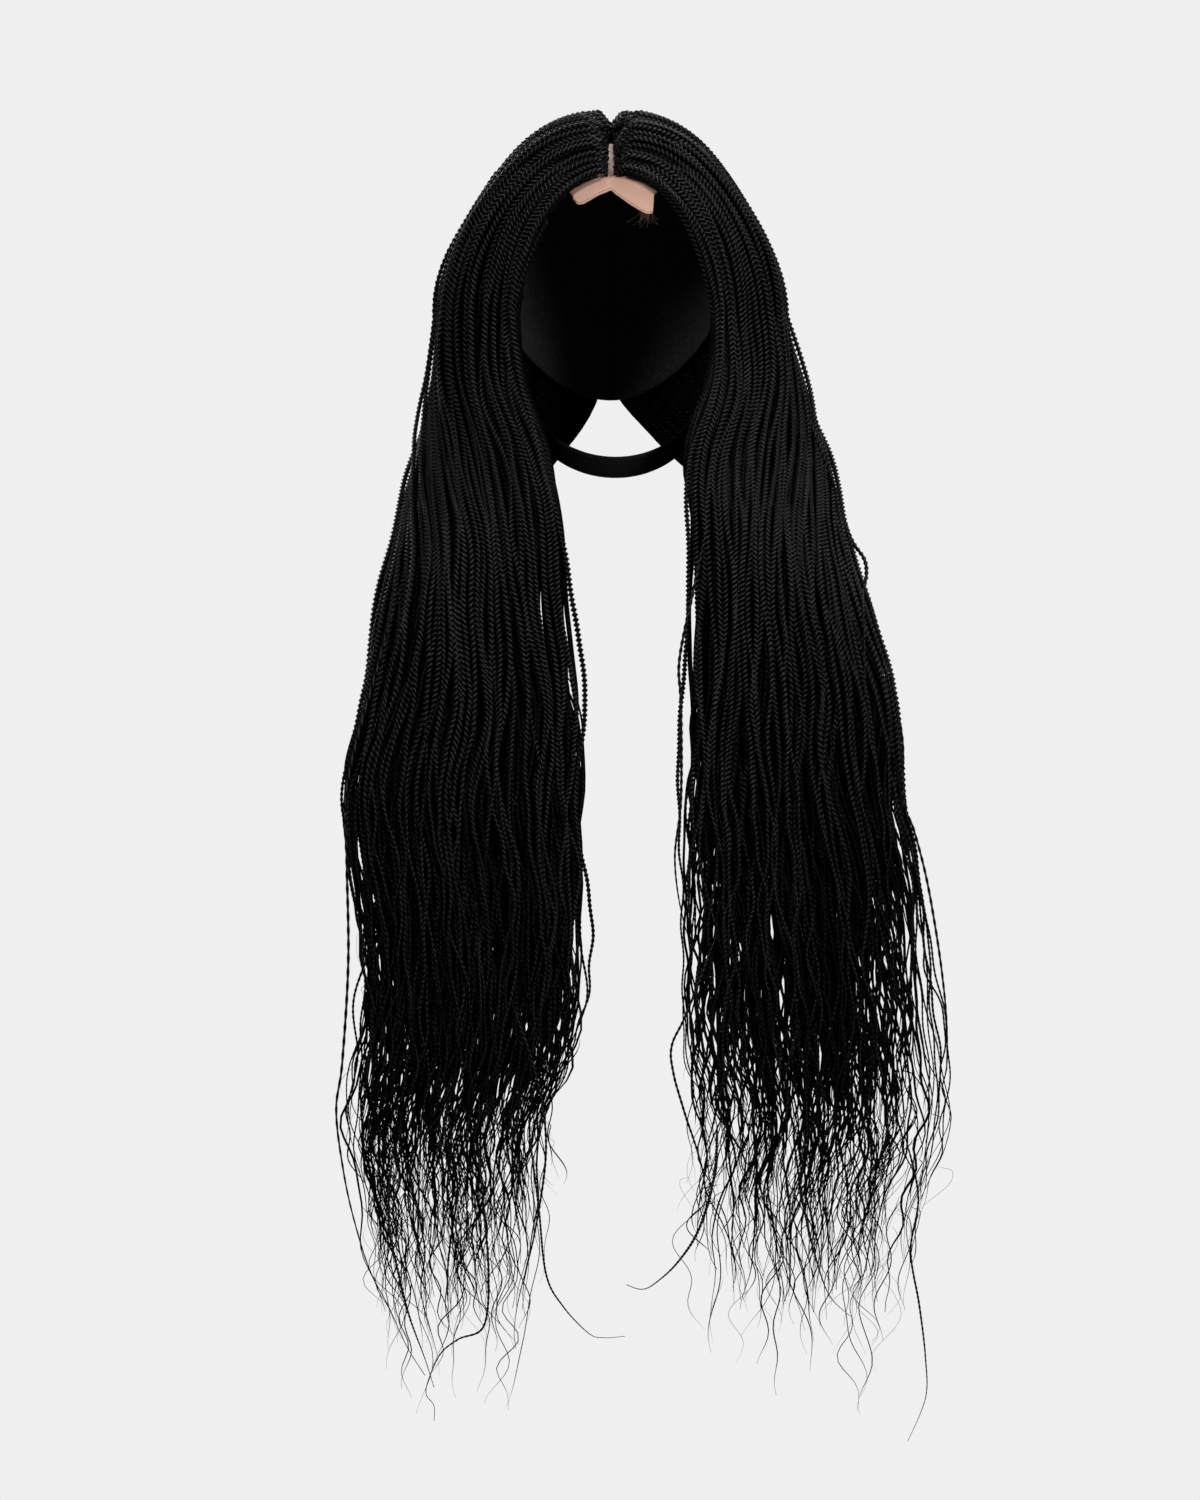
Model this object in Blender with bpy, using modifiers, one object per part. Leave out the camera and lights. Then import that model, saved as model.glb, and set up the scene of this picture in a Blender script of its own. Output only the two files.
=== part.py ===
"""A long wig of two-strand twists with a centre parting, on a net cap.

Lengths are in metres. The inside of the cap's crown is at the origin, the face side looks
towards -Y and +Z is up. A place in the hair is named by four values:

    side    -1 on the viewer's left, 1 on the viewer's right
    around  0 at the twists that frame the face, 1 at the middle of the back
    along   0 at the parting, 1 at ear level, then one more for each row of SECTIONS
    depth   0 against the head, 1 on the outer surface
"""

import math
from collections import namedtuple

import bmesh
import bpy
import numpy as np

# Head that the cap fits, as a rounded box whose top touches the origin
HEAD_HALF_WIDTH = 0.075
HEAD_HALF_LENGTH = 0.0975
HEAD_RISE = 0.115
HEAD_ROUNDNESS = 2.3

# Cap, lace and strap
CAP_WALL = 0.0015
LACE_WALL = 0.0010
LACE_LIFT = 0.00025
STRAP_WALL = 0.0010
STRAP_WIDTH = 0.0165
GAP = 0.0003
HAIR_LIFT = CAP_WALL + 4 * GAP

# Parting, as tilts from straight up: towards the face, and towards the back
PARTING_FRONT_TILT = 39.0
PARTING_BACK_TILT = -24.0
PARTING_HALF_WIDTH = 0.0026
PARTING_OPEN_AROUND = 0.42
PARTING_CLOSED_AROUND = 0.60
MIDLINE_HALF_GAP = 0.0003
# Turns from straight ahead, at ear level
FACE_TURN_LEFT = 42.0
FACE_TURN_RIGHT = 48.0
BACK_TURN = 180.0
# The front twists arch over the temples, and the ones along the face arch less
ARCH_SIDEWAYS = 0.25
ARCH_UP = 1.3
ARCH_AROUND = 0.55
EDGE_SIDEWAYS = -0.10
EDGE_UP = 0.9
EDGE_AROUND = 0.15

# Thickness of the hair over the cap
PARTING_THICKNESS = 0.0120
MOUND_THICKNESS = 0.0210
EAR_THICKNESS = 0.0385
BACK_THICKNESS = 0.0210
FACE_EDGE_THICKNESS = 0.0065
MOUND_ALONG = 0.10
SWELL_ALONG = 0.42
FACE_EDGE_AROUND = 0.24
# From here to the middle of the back the hair takes its thickness there
BACK_AROUND = 0.5

# Level sections of the hair below the ears. Each side's section is an arc of an ellipse.
# edge and far are the x of the inner edge and of the outline, front and back are the y of
# the ellipse, start and end are its arc in degrees from straight ahead, and the last two
# are the thickness at the side and at the arc's end.
Section = namedtuple(
    "Section",
    "height edge_left far_left edge_right far_right front back start end thick back_thick",
)
SECTIONS = [
    Section(-0.115, -0.0616, -0.1160, 0.0650, 0.1155, -0.098, 0.119, 32, 180, 0.036, 0.021),
    Section(-0.165, -0.0590, -0.1245, 0.0630, 0.1320, -0.098, 0.118, 28, 178, 0.033, 0.018),
    Section(-0.215, -0.0420, -0.1340, 0.0490, 0.1470, -0.106, 0.098, 10, 170, 0.030, 0.019),
    Section(-0.265, -0.0290, -0.1455, 0.0505, 0.1585, -0.126, 0.056, -22, 173, 0.028, 0.021),
    Section(-0.315, -0.0240, -0.1565, 0.0485, 0.1735, -0.140, -0.006, -48, 192, 0.025, 0.022),
    Section(-0.375, -0.0165, -0.1650, 0.0460, 0.1880, -0.147, -0.072, -70, 230, 0.021, 0.021),
    Section(-0.440, -0.0175, -0.1770, 0.0455, 0.1930, -0.149, -0.109, -80, 256, 0.018, 0.018),
    Section(-0.520, -0.0125, -0.1710, 0.0455, 0.2100, -0.149, -0.111, -82, 258, 0.017, 0.017),
    Section(-0.600, -0.0165, -0.1700, 0.0420, 0.2210, -0.148, -0.112, -82, 258, 0.016, 0.016),
    Section(-0.660, -0.0330, -0.1770, 0.0480, 0.2220, -0.147, -0.113, -82, 258, 0.015, 0.015),
    Section(-0.720, -0.0400, -0.1690, 0.0480, 0.2080, -0.146, -0.114, -82, 258, 0.014, 0.014),
    Section(-0.800, -0.0480, -0.1560, 0.0560, 0.2020, -0.145, -0.115, -82, 258, 0.013, 0.013),
    Section(-0.872, -0.0560, -0.1480, 0.0640, 0.2060, -0.144, -0.116, -82, 258, 0.012, 0.012),
]
# The fall leaves the head's own shape over this many rows below ear level
SETTLE_ROWS = 1.6
CHEST_ROW = 5
ENDS_ROW = 9
# The face edge stays thin down to here, and is as thick as the rest on the chest
EDGE_THIN_UNTIL = 2

# Blocks of hair, the same on both sides: name, then the range around and the range along
Block = namedtuple("Block", "name around_from around_to along_from along_to")
BLOCKS = [
    Block("hairline", 0.00, 0.20, 0, 1),
    Block("crown", 0.20, 0.60, 0, 1),
    Block("back_crown", 0.60, 1.00, 0, 1),
    Block("front_drop", 0.00, 0.30, 1, CHEST_ROW),
    Block("side_drop", 0.30, 0.60, 1, CHEST_ROW),
    Block("back_drop", 0.60, 1.00, 1, CHEST_ROW),
    Block("front_fall", 0.00, 0.50, CHEST_ROW, ENDS_ROW),
    Block("back_fall", 0.50, 1.00, CHEST_ROW, ENDS_ROW),
]
AROUND_STEP = 0.05
DOME_STEP = 0.125
ROW_STEP = 0.5
AROUND_GAP = 0.0015
DOME_GAP = 0.0024
ROW_GAP = 0.005

# Ragged ends: how far along each tuft's tip is, from the inner edge to the outer one
FRONT_TIPS_LEFT = (11.15, 11.0, 11.7, 12.55)
FRONT_TIPS_RIGHT = (11.1, 10.9, 11.2, 12.95)
BACK_TIPS = (11.3, 10.8, 10.6)
TUFT_STEPS = 6
TUFT_TIP = 0.10
TUFT_TAPER = 1.6

# Lace closure: its reach to each side and towards the back, as along and around values
LACE_ALONG = 0.38
LACE_AROUND = 0.62
LACE_GAP = 0.005
LACE_ACROSS_STEPS = 26
LACE_AROUND_STEPS = 9
# Edge of its flap on the forehead, cut in waves with a nick in the middle, as pairs of
# across, from -1 on the left to 1 on the right, and around
FLAP_EDGE = [
    (-1.00, -0.035), (-0.92, -0.125), (-0.78, -0.152), (-0.60, -0.142), (-0.38, -0.117),
    (-0.15, -0.097), (0.00, -0.078), (0.13, -0.115), (0.28, -0.147), (0.48, -0.192),
    (0.67, -0.222), (0.84, -0.240), (0.95, -0.225), (1.00, -0.190),
]
CAP_FRONT_AROUND = 0.03

# Cap rim, as along values at the temple, over the ear and at the nape
RIM_TEMPLE = 1.02
RIM_EAR = 0.93
RIM_NAPE = 1.34
RIM_EAR_AROUND = 0.36

# Middle of the strap, from under the chin up to its seam inside the cap at the ear
StrapPoint = namedtuple("StrapPoint", "x y z")
STRAP_ROUTE = [
    StrapPoint(0.0000, -0.0650, -0.2200),
    StrapPoint(0.0230, -0.0610, -0.2160),
    StrapPoint(0.0430, -0.0500, -0.2040),
    StrapPoint(0.0585, -0.0300, -0.1810),
    StrapPoint(0.0680, -0.0120, -0.1500),
    StrapPoint(0.0732, -0.0010, -0.1180),
    StrapPoint(0.0742, 0.0010, -0.1000),
]
# The band turns its face this much more forward than the head's own surface does
STRAP_FORWARD = 0.55
# Under the chin it hangs this much towards the viewer's right
STRAP_SHIFT = 0.003
STRAP_STEPS = 3

HAIR_COLOUR = (0.010, 0.010, 0.011)
CAP_COLOUR = (0.012, 0.012, 0.013)
LACE_COLOUR = (0.62, 0.42, 0.32)
STRAP_COLOUR = (0.008, 0.008, 0.009)


def clear_scene():
    for thing in list(bpy.data.objects):
        bpy.data.objects.remove(thing, do_unlink=True)


def smooth(value):
    value = min(1.0, max(0.0, value))
    return value * value * (3 - 2 * value)


def mix(low, high, share):
    return low + (high - low) * share


def unit(vector):
    return vector / np.linalg.norm(vector)


def head_direction(side, around, along):
    """The way from the head's middle to a place on the cap."""
    tilt = math.radians(mix(PARTING_FRONT_TILT, PARTING_BACK_TILT, around))
    face_turn = FACE_TURN_LEFT if side < 0 else FACE_TURN_RIGHT
    turn = math.radians(mix(face_turn, BACK_TURN, max(0.0, around)))
    start = np.array((0.0, -math.sin(tilt), math.cos(tilt)))
    end = np.array((side * math.sin(turn), -math.cos(turn), 0.0))
    if along > 1:
        drop = math.radians(90 * (along - 1))
        return end * math.cos(drop) - np.array((0.0, 0.0, math.sin(drop)))
    face_share = smooth(around / EDGE_AROUND)
    sideways = side * mix(EDGE_SIDEWAYS, ARCH_SIDEWAYS, face_share)
    arch = np.array((sideways, 0.0, mix(EDGE_UP, ARCH_UP, face_share)))
    middle = unit(start + end + (1 - smooth(around / ARCH_AROUND)) * arch)
    return unit((1 - along) ** 2 * start + 2 * along * (1 - along) * middle + along**2 * end)


def head_point(direction, lift):
    """The point that lies this far above the head in a direction from its middle."""
    axes = np.array((HEAD_HALF_WIDTH, HEAD_HALF_LENGTH, HEAD_RISE)) + lift
    reach = (np.abs(direction / axes) ** HEAD_ROUNDNESS).sum() ** (-1 / HEAD_ROUNDNESS)
    return direction * reach - np.array((0.0, 0.0, HEAD_RISE))


def back_share(around):
    """0 from the face to the ear, rising to 1 at the middle of the back."""
    return smooth((around - BACK_AROUND) / (1 - BACK_AROUND))


def dome_thickness(around, along):
    """Thickness of the hair over the cap, from the parting to ear level."""
    mound = mix(PARTING_THICKNESS, MOUND_THICKNESS, smooth(along / MOUND_ALONG))
    at_ear = mix(EAR_THICKNESS, BACK_THICKNESS, back_share(around))
    full = mix(mound, at_ear, smooth((along - SWELL_ALONG) / (1 - SWELL_ALONG)))
    edge = smooth(around / FACE_EDGE_AROUND)
    return mix(min(full, FACE_EDGE_THICKNESS), full, edge)


def section_at(along):
    """The row of SECTIONS at a place along the hair, on a smooth curve through the rows."""
    place = min(max(along - 1, 0.0), len(SECTIONS) - 1.0)
    row = min(int(place), len(SECTIONS) - 2)
    share = place - row
    rows = [SECTIONS[min(max(row + step, 0), len(SECTIONS) - 1)] for step in (-1, 0, 1, 2)]
    before, low, high, after = (np.array(each, dtype=float) for each in rows)
    rise_low = (high - before) / 2
    rise_high = (after - low) / 2
    square, cube = share**2, share**3
    values = (
        (2 * cube - 3 * square + 1) * low
        + (cube - 2 * square + share) * rise_low
        + (3 * square - 2 * cube) * high
        + (cube - square) * rise_high
    )
    return Section(*values)


def fall_point(side, around, along, depth):
    """A point of the hair below ear level, from the level sections alone."""
    section = section_at(along)
    edge = section.edge_left if side < 0 else section.edge_right
    far = section.far_left if side < 0 else section.far_right
    start = math.sin(math.radians(section.start))
    half_width = side * (far - edge) / (1 - start)
    half_depth = (section.back - section.front) / 2
    centre_x = far - side * half_width
    centre_y = (section.back + section.front) / 2
    thick = mix(section.thick, section.back_thick, back_share(around))
    rounded = smooth((along - EDGE_THIN_UNTIL) / (CHEST_ROW - EDGE_THIN_UNTIL))
    edge_share = mix(smooth(around / FACE_EDGE_AROUND), 1.0, rounded)
    thick = mix(FACE_EDGE_THICKNESS, thick, edge_share)
    inset = (1 - depth) * min(thick, half_depth - GAP)
    turn = math.radians(mix(section.start, section.end, around))
    x = centre_x + side * (half_width - inset) * math.sin(turn)
    y = centre_y - (half_depth - inset) * math.cos(turn)
    return np.array((x, y, section.height))


def dome_point(side, around, along, depth):
    """A point of the hair between the parting and ear level."""
    direction = head_direction(side, around, along)
    thick = dome_thickness(around, along)
    point = head_point(direction, HAIR_LIFT + depth * thick)
    closing_range = PARTING_CLOSED_AROUND - PARTING_OPEN_AROUND
    closed = smooth((around - PARTING_OPEN_AROUND) / closing_range)
    point[0] += side * PARTING_HALF_WIDTH * (1 - closed) * (1 - along) ** 4
    return point


def hair_point(side, around, along, depth):
    """A point anywhere in the hair. See the heading for the four values."""
    if along <= 1:
        point = dome_point(side, around, along, depth)
    else:
        step = dome_point(side, around, 1, depth) - fall_point(side, around, 1, depth)
        held = 1 - smooth((along - 1) / SETTLE_ROWS)
        point = fall_point(side, around, along, depth) + held * step
    point[0] = side * (max(0.0, side * point[0]) + MIDLINE_HALF_GAP)
    return point


def cap_point(side, around, along):
    return head_point(head_direction(side, around, along), 0.0)


def material(name, colour, roughness):
    made = bpy.data.materials.new(name)
    made.use_nodes = True
    shader = made.node_tree.nodes["Principled BSDF"]
    shader.inputs["Base Color"].default_value = (*colour, 1.0)
    shader.inputs["Roughness"].default_value = roughness
    shader.inputs["Metallic"].default_value = 0.0
    return made


def add_object(name, points, faces, finish, collection):
    """A mesh object from points and faces, with its faces turned to agree."""
    mesh = bpy.data.meshes.new(name)
    mesh.from_pydata([tuple(point) for point in points], [], faces)
    work = bmesh.new()
    work.from_mesh(mesh)
    bmesh.ops.remove_doubles(work, verts=work.verts, dist=1e-6)
    bmesh.ops.recalc_face_normals(work, faces=work.faces)
    work.to_mesh(mesh)
    work.free()
    mesh.shade_smooth()
    mesh.set_sharp_from_angle(angle=math.radians(40))
    mesh.materials.append(finish)
    thing = bpy.data.objects.new(name, mesh)
    collection.objects.link(thing)
    return thing


def loft(name, rings, finish, collection):
    """A closed solid through rings of equal length, each an outer row and an inner row.

    Every four-sided patch is cut from its outer lower corner to its inner upper one, so
    that the walls of two neighbouring solids bend the same way and stay apart.
    """
    half = len(rings[0]) // 2
    count = 2 * half
    points = [point for ring in rings for point in ring]
    faces = []
    for row in range(len(rings) - 1):
        low, high = row * count, (row + 1) * count
        for spot in range(count):
            ahead = (spot + 1) % count
            if spot < half:
                faces.append((low + spot, low + ahead, high + ahead))
                faces.append((low + spot, high + ahead, high + spot))
            else:
                faces.append((low + spot, low + ahead, high + spot))
                faces.append((low + ahead, high + ahead, high + spot))
    for base in (0, (len(rings) - 1) * count):
        for spot in range(half - 1):
            other = base + count - 1 - spot
            faces.append((base + spot, base + spot + 1, other - 1))
            faces.append((base + spot, other - 1, other))
    return add_object(name, points, faces, finish, collection)


def shell(name, rows, wall, finish, collection, skip=None):
    """A sheet through rows of points, thickened away from the head's middle.

    skip says which patches are left out, by their row and their spot in it.
    """
    width = len(rows[0])
    points = [point for row in rows for point in row]
    faces = []
    for row in range(len(rows) - 1):
        for spot in range(width - 1):
            if skip and skip(row, spot):
                continue
            base = row * width + spot
            faces.append((base, base + 1, base + width + 1, base + width))
    thing = add_object(name, points, faces, finish, collection)
    turn_outward(thing.data)
    thicken = thing.modifiers.new("wall", "SOLIDIFY")
    thicken.thickness = wall
    thicken.offset = 1.0
    thicken.use_even_offset = True
    return thing


def turn_outward(mesh):
    """Turns every face of an open sheet away from the head's middle."""
    middle = np.array((0.0, 0.0, -HEAD_RISE))
    outward = sum(
        np.dot(face.normal, np.array(face.center) - middle) * face.area for face in mesh.polygons
    )
    if outward < 0:
        mesh.flip_normals()


def steps(low, high, step):
    """Values from low to high on the shared grid of a step, with both ends."""
    first = math.floor(low / step + 1.01)
    last = math.ceil(high / step - 1.01)
    return [low, *(number * step for number in range(first, last + 1)), high]


def around_values(low, high):
    trimmed_low = low + AROUND_GAP if low > 0 else low
    trimmed_high = high - AROUND_GAP if high < 1 else high
    return steps(trimmed_low, trimmed_high, AROUND_STEP)


def along_values(low, high):
    if high <= 1:
        return steps(low, high - DOME_GAP, DOME_STEP)
    return steps(low + (ROW_GAP if low > 1 else 0.0), high - ROW_GAP, ROW_STEP)


def hair_ring(side, arounds, along, low=0.0, high=1.0):
    outer = [hair_point(side, around, along, high) for around in arounds]
    inner = [hair_point(side, around, along, low) for around in reversed(arounds)]
    return outer + inner


def side_name(side):
    return "left" if side < 0 else "right"


def build_block(block, side, finish, collection):
    arounds = around_values(block.around_from, block.around_to)
    alongs = along_values(block.along_from, block.along_to)
    rings = [hair_ring(side, arounds, along) for along in alongs]
    loft(f"{block.name}_{side_name(side)}", rings, finish, collection)


def build_tuft(name, side, low, high, tip, finish, collection):
    """One tapered tuft of the ragged ends, between two places around."""
    arounds = around_values(low, high)
    middle = mix(arounds[0], arounds[-1], 0.5)
    rings = []
    for step in range(TUFT_STEPS + 1):
        share = step / TUFT_STEPS
        along = mix(ENDS_ROW, tip, share)
        width = mix(1.0, TUFT_TIP, share**TUFT_TAPER)
        squeezed = [middle + (around - middle) * width for around in arounds]
        rings.append(hair_ring(side, squeezed, along, 0.5 - width / 2, 0.5 + width / 2))
    loft(name, rings, finish, collection)


def build_ends(side, finish, collection):
    """The ragged fringe at the bottom, a row of tufts in front and a row behind."""
    front = FRONT_TIPS_LEFT if side < 0 else FRONT_TIPS_RIGHT
    for layer, tips, low, high in (("front", front, 0.0, 0.5), ("back", BACK_TIPS, 0.5, 1.0)):
        width = (high - low) / len(tips)
        for number, tip in enumerate(tips):
            name = f"ends_{layer}_{side_name(side)}_{number + 1}"
            begin = low + number * width
            build_tuft(name, side, begin, begin + width, tip, finish, collection)


def cap_rim(around):
    """How far along the cap's rim lies: ear tab, ear notch, then the nape."""
    if around < RIM_EAR_AROUND:
        return mix(RIM_TEMPLE, RIM_EAR, smooth(around / RIM_EAR_AROUND))
    return mix(RIM_EAR, RIM_NAPE, smooth((around - RIM_EAR_AROUND) / (1 - RIM_EAR_AROUND)))


def build_cap(finish, collection):
    """The net cap, open below and with a notch for the lace in front."""
    hole_along = LACE_ALONG + LACE_GAP
    hole_around = LACE_AROUND + LACE_GAP
    arounds = steps(CAP_FRONT_AROUND, hole_around, AROUND_STEP)
    notch_rows = len(arounds) - 1
    arounds += steps(hole_around, 1.0, AROUND_STEP)[1:]
    inner_steps, outer_steps = 2, 8
    rows = []
    for around in arounds:
        rim = cap_rim(around)
        alongs = [hole_along * step / inner_steps for step in range(inner_steps)]
        alongs += [mix(hole_along, rim, step / outer_steps) for step in range(outer_steps + 1)]
        left = [cap_point(-1, around, along) for along in reversed(alongs)]
        right = [cap_point(1, around, along) for along in alongs[1:]]
        rows.append(left + right)
    hole_low = outer_steps
    hole_high = outer_steps + 2 * inner_steps

    def in_notch(row, spot):
        return row < notch_rows and hole_low <= spot < hole_high

    shell("wig_cap", rows, CAP_WALL, finish, collection, in_notch)


def build_lace(finish, collection):
    """The lace panel: parting area, and a trimmed flap on the forehead."""
    edge_across, edge_around = zip(*FLAP_EDGE)
    rows = []
    for number in range(LACE_ACROSS_STEPS + 1):
        across = mix(-1.0, 1.0, number / LACE_ACROSS_STEPS)
        side = -1 if across < 0 else 1
        along = abs(across) * LACE_ALONG
        edge = np.interp(across, edge_across, edge_around)
        row = []
        for step in range(LACE_AROUND_STEPS + 1):
            around = mix(edge, LACE_AROUND, step / LACE_AROUND_STEPS)
            row.append(head_point(head_direction(side, around, along), LACE_LIFT))
        rows.append(row)
    shell("lace_closure", rows, LACE_WALL, finish, collection)


def strap_centres():
    """Points along the strap's middle, from the left ear under the chin to the right ear."""
    half = [np.array(point) for point in STRAP_ROUTE]
    left = [point * (-1, 1, 1) for point in reversed(half)]
    route = left + half[1:]
    route = [route[0], *route, route[-1]]
    centres = []
    for number in range(1, len(route) - 2):
        before, low, high, after = route[number - 1 : number + 3]
        for step in range(STRAP_STEPS):
            share = step / STRAP_STEPS
            bend = (high - before) * share + (2 * before - 5 * low + 4 * high - after) * share**2
            bend += (3 * (low - high) + after - before) * share**3
            centres.append(low + bend / 2)
    centres.append(route[-2])
    top, low = STRAP_ROUTE[-1].z, STRAP_ROUTE[0].z
    shift = np.array((STRAP_SHIFT, 0.0, 0.0))
    return [point + shift * (top - point[2]) / (top - low) for point in centres]


def build_strap(finish, collection):
    """The flat elastic band, a sheet across its route that is then thickened."""
    centres = strap_centres()
    axes = np.array((HEAD_HALF_WIDTH, HEAD_HALF_LENGTH, HEAD_RISE))
    rows = []
    for number, centre in enumerate(centres):
        before = centres[max(0, number - 1)]
        after = centres[min(len(centres) - 1, number + 1)]
        outward = unit((centre + (0, 0, HEAD_RISE)) / axes**2 * (1, 1, STRAP_FORWARD))
        across = unit(np.cross(unit(after - before), outward))
        rows.append([centre - across * STRAP_WIDTH / 2, centre, centre + across * STRAP_WIDTH / 2])
    band = shell("chin_strap", rows, STRAP_WALL, finish, collection)
    band.modifiers["wall"].offset = -1.0


def main():
    clear_scene()
    collection = bpy.data.collections.new("twist_wig")
    bpy.context.scene.collection.children.link(collection)
    hair = material("twist_hair", HAIR_COLOUR, 0.55)
    build_cap(material("cap_net", CAP_COLOUR, 0.8), collection)
    build_lace(material("lace", LACE_COLOUR, 0.75), collection)
    build_strap(material("elastic", STRAP_COLOUR, 0.45), collection)
    for side in (-1, 1):
        for block in BLOCKS:
            build_block(block, side, hair, collection)
        build_ends(side, hair, collection)


main()
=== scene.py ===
"""The looks of a long wig of two-strand twists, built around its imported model.

Lengths are in metres. A place in the hair is named by four values, as in the CAD source:
side (-1 on the viewer's left, 1 on the right), around (0 at the face, 1 at the middle of
the back), along (0 at the parting, 1 at ear level, then one more for each row of SECTIONS)
and depth (0 against the head, 1 on the outer surface).
"""

import math

import bpy
import numpy as np
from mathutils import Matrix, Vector


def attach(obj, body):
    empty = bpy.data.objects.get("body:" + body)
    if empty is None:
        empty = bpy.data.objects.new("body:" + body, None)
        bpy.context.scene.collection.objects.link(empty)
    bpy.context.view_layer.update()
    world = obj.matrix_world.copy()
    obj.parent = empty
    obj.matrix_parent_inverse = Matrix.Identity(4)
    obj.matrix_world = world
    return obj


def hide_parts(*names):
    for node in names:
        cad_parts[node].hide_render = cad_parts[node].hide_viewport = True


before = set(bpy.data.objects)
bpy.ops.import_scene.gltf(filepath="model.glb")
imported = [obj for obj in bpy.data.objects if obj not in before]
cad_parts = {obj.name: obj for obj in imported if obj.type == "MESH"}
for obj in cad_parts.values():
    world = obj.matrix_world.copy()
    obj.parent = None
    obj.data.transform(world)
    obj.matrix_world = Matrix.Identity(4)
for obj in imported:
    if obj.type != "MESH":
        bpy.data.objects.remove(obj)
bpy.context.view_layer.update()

# The hair's form, the same values as in the CAD source, except that the twists start nearer
# the middle of the parting and rise from it to the mound sooner than the solids do
HEAD_AXES = np.array((0.075, 0.0975, 0.115))
HEAD_RISE = 0.115
HEAD_ROUNDNESS = 2.3
HAIR_LIFT = 0.0027
PARTING_TILTS = (39.0, -24.0)
PARTING_HALF_WIDTH = 0.0015
PARTING_CLOSES_AROUND = (0.42, 0.60)
MIDLINE_HALF_GAP = 0.0003
FACE_TURNS = {-1: 42.0, 1: 48.0}
BACK_TURN = 180.0
ARCH_SIDEWAYS = 0.25
ARCH_UP = 1.3
ARCH_AROUND = 0.55
EDGE_SIDEWAYS = -0.10
EDGE_UP = 0.9
EDGE_AROUND = 0.15
PARTING_THICKNESS = 0.0120
MOUND_THICKNESS = 0.0210
EAR_THICKNESS = 0.0385
BACK_THICKNESS = 0.0210
FACE_EDGE_THICKNESS = 0.0065
MOUND_ALONG = 0.05
SWELL_ALONG = 0.42
FACE_EDGE_AROUND = 0.24
BACK_AROUND = 0.5
SETTLE_ROWS = 1.6
EDGE_ROUNDS_ALONG = (2, 5)
# Level sections of the hanging hair from ear level down: height, inner and outer edge of the
# left and of the right mass, front, back, first and last turn, thickness in front and behind
SECTIONS = np.array([
    (-0.115, -0.0616, -0.1160, 0.0650, 0.1155, -0.098, 0.119, 32, 180, 0.036, 0.021),
    (-0.165, -0.0590, -0.1245, 0.0630, 0.1320, -0.098, 0.118, 28, 178, 0.033, 0.018),
    (-0.215, -0.0420, -0.1340, 0.0490, 0.1470, -0.106, 0.098, 10, 170, 0.030, 0.019),
    (-0.265, -0.0290, -0.1455, 0.0505, 0.1585, -0.126, 0.056, -22, 173, 0.028, 0.021),
    (-0.315, -0.0240, -0.1565, 0.0485, 0.1735, -0.140, -0.006, -48, 192, 0.025, 0.022),
    (-0.375, -0.0165, -0.1650, 0.0460, 0.1880, -0.147, -0.072, -70, 230, 0.021, 0.021),
    (-0.440, -0.0175, -0.1770, 0.0455, 0.1930, -0.149, -0.109, -80, 256, 0.018, 0.018),
    (-0.520, -0.0125, -0.1710, 0.0455, 0.2100, -0.149, -0.111, -82, 258, 0.017, 0.017),
    (-0.600, -0.0165, -0.1700, 0.0420, 0.2210, -0.148, -0.112, -82, 258, 0.016, 0.016),
    (-0.660, -0.0330, -0.1770, 0.0480, 0.2220, -0.147, -0.113, -82, 258, 0.015, 0.015),
    (-0.720, -0.0400, -0.1690, 0.0480, 0.2080, -0.146, -0.114, -82, 258, 0.014, 0.014),
    (-0.800, -0.0480, -0.1560, 0.0560, 0.2020, -0.145, -0.115, -82, 258, 0.013, 0.013),
    (-0.872, -0.0560, -0.1480, 0.0640, 0.2060, -0.144, -0.116, -82, 258, 0.012, 0.012),
])

# Twists: half width at the crests and at the creases, and the length of one bump
CREST = 0.00225
CREASE = 0.00085
THIN_CREASE = 0.0020
BUMP_LENGTH = 0.00365
RINGS_PER_BUMP = 2
TWIST_LENGTH = 0.87
TWIST_RINGS = int(TWIST_LENGTH / BUMP_LENGTH) * RINGS_PER_BUMP
FRONT_TWISTS = 36
BACK_TWISTS = 35
FRONT_SHARE = 0.5
PATH_SAMPLES = 230
# Roots rise from the lace to the hair's full thickness by here
ROOT_ALONG = 0.09
# Outer twists: last start, mean and spread of their stops, their range, and lowest level
OUTER_LAST_START = 0.012
OUTER_STOP = (10.95, 0.55)
OUTER_STOP_RANGE = (9.6, 12.4)
OUTER_LEVEL = 0.88
# Every second twist starts under its neighbours, and rises between them over this length
UNDER_LEVEL = 0.42
RISES_AT = (0.10, 0.26)
RISE_LENGTH = 0.25
UNEVEN_SPACING = 0.25
SAME_HAND_SHARE = 0.7
# A few twists stand off from the rest past the crown
LOOSE_SHARE = 0.14
LOOSE_LIFT = 0.11
LOOSE_ALONG = (0.4, 0.9)
# Width of a twist down its length: places along and shares of the full width there. Each
# twist takes the shares to a power of its own, then scales them, between these values.
WIDTH_ALONG = (0.0, 0.15, 0.5, 1.0, 5.0, 6.5, 8.0, 9.0, 9.6, 10.2, 11.0, 13.0)
WIDTH_SHARE = (0.78, 0.84, 0.96, 1.0, 1.0, 0.88, 0.70, 0.54, 0.43, 0.35, 0.29, 0.24)
WIDTH_POWER = (0.7, 1.6)
WIDTH_SPREAD = (0.92, 1.08)
TIP_LENGTH_SHARE = 0.055
TIP_WIDTH = 0.25
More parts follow.
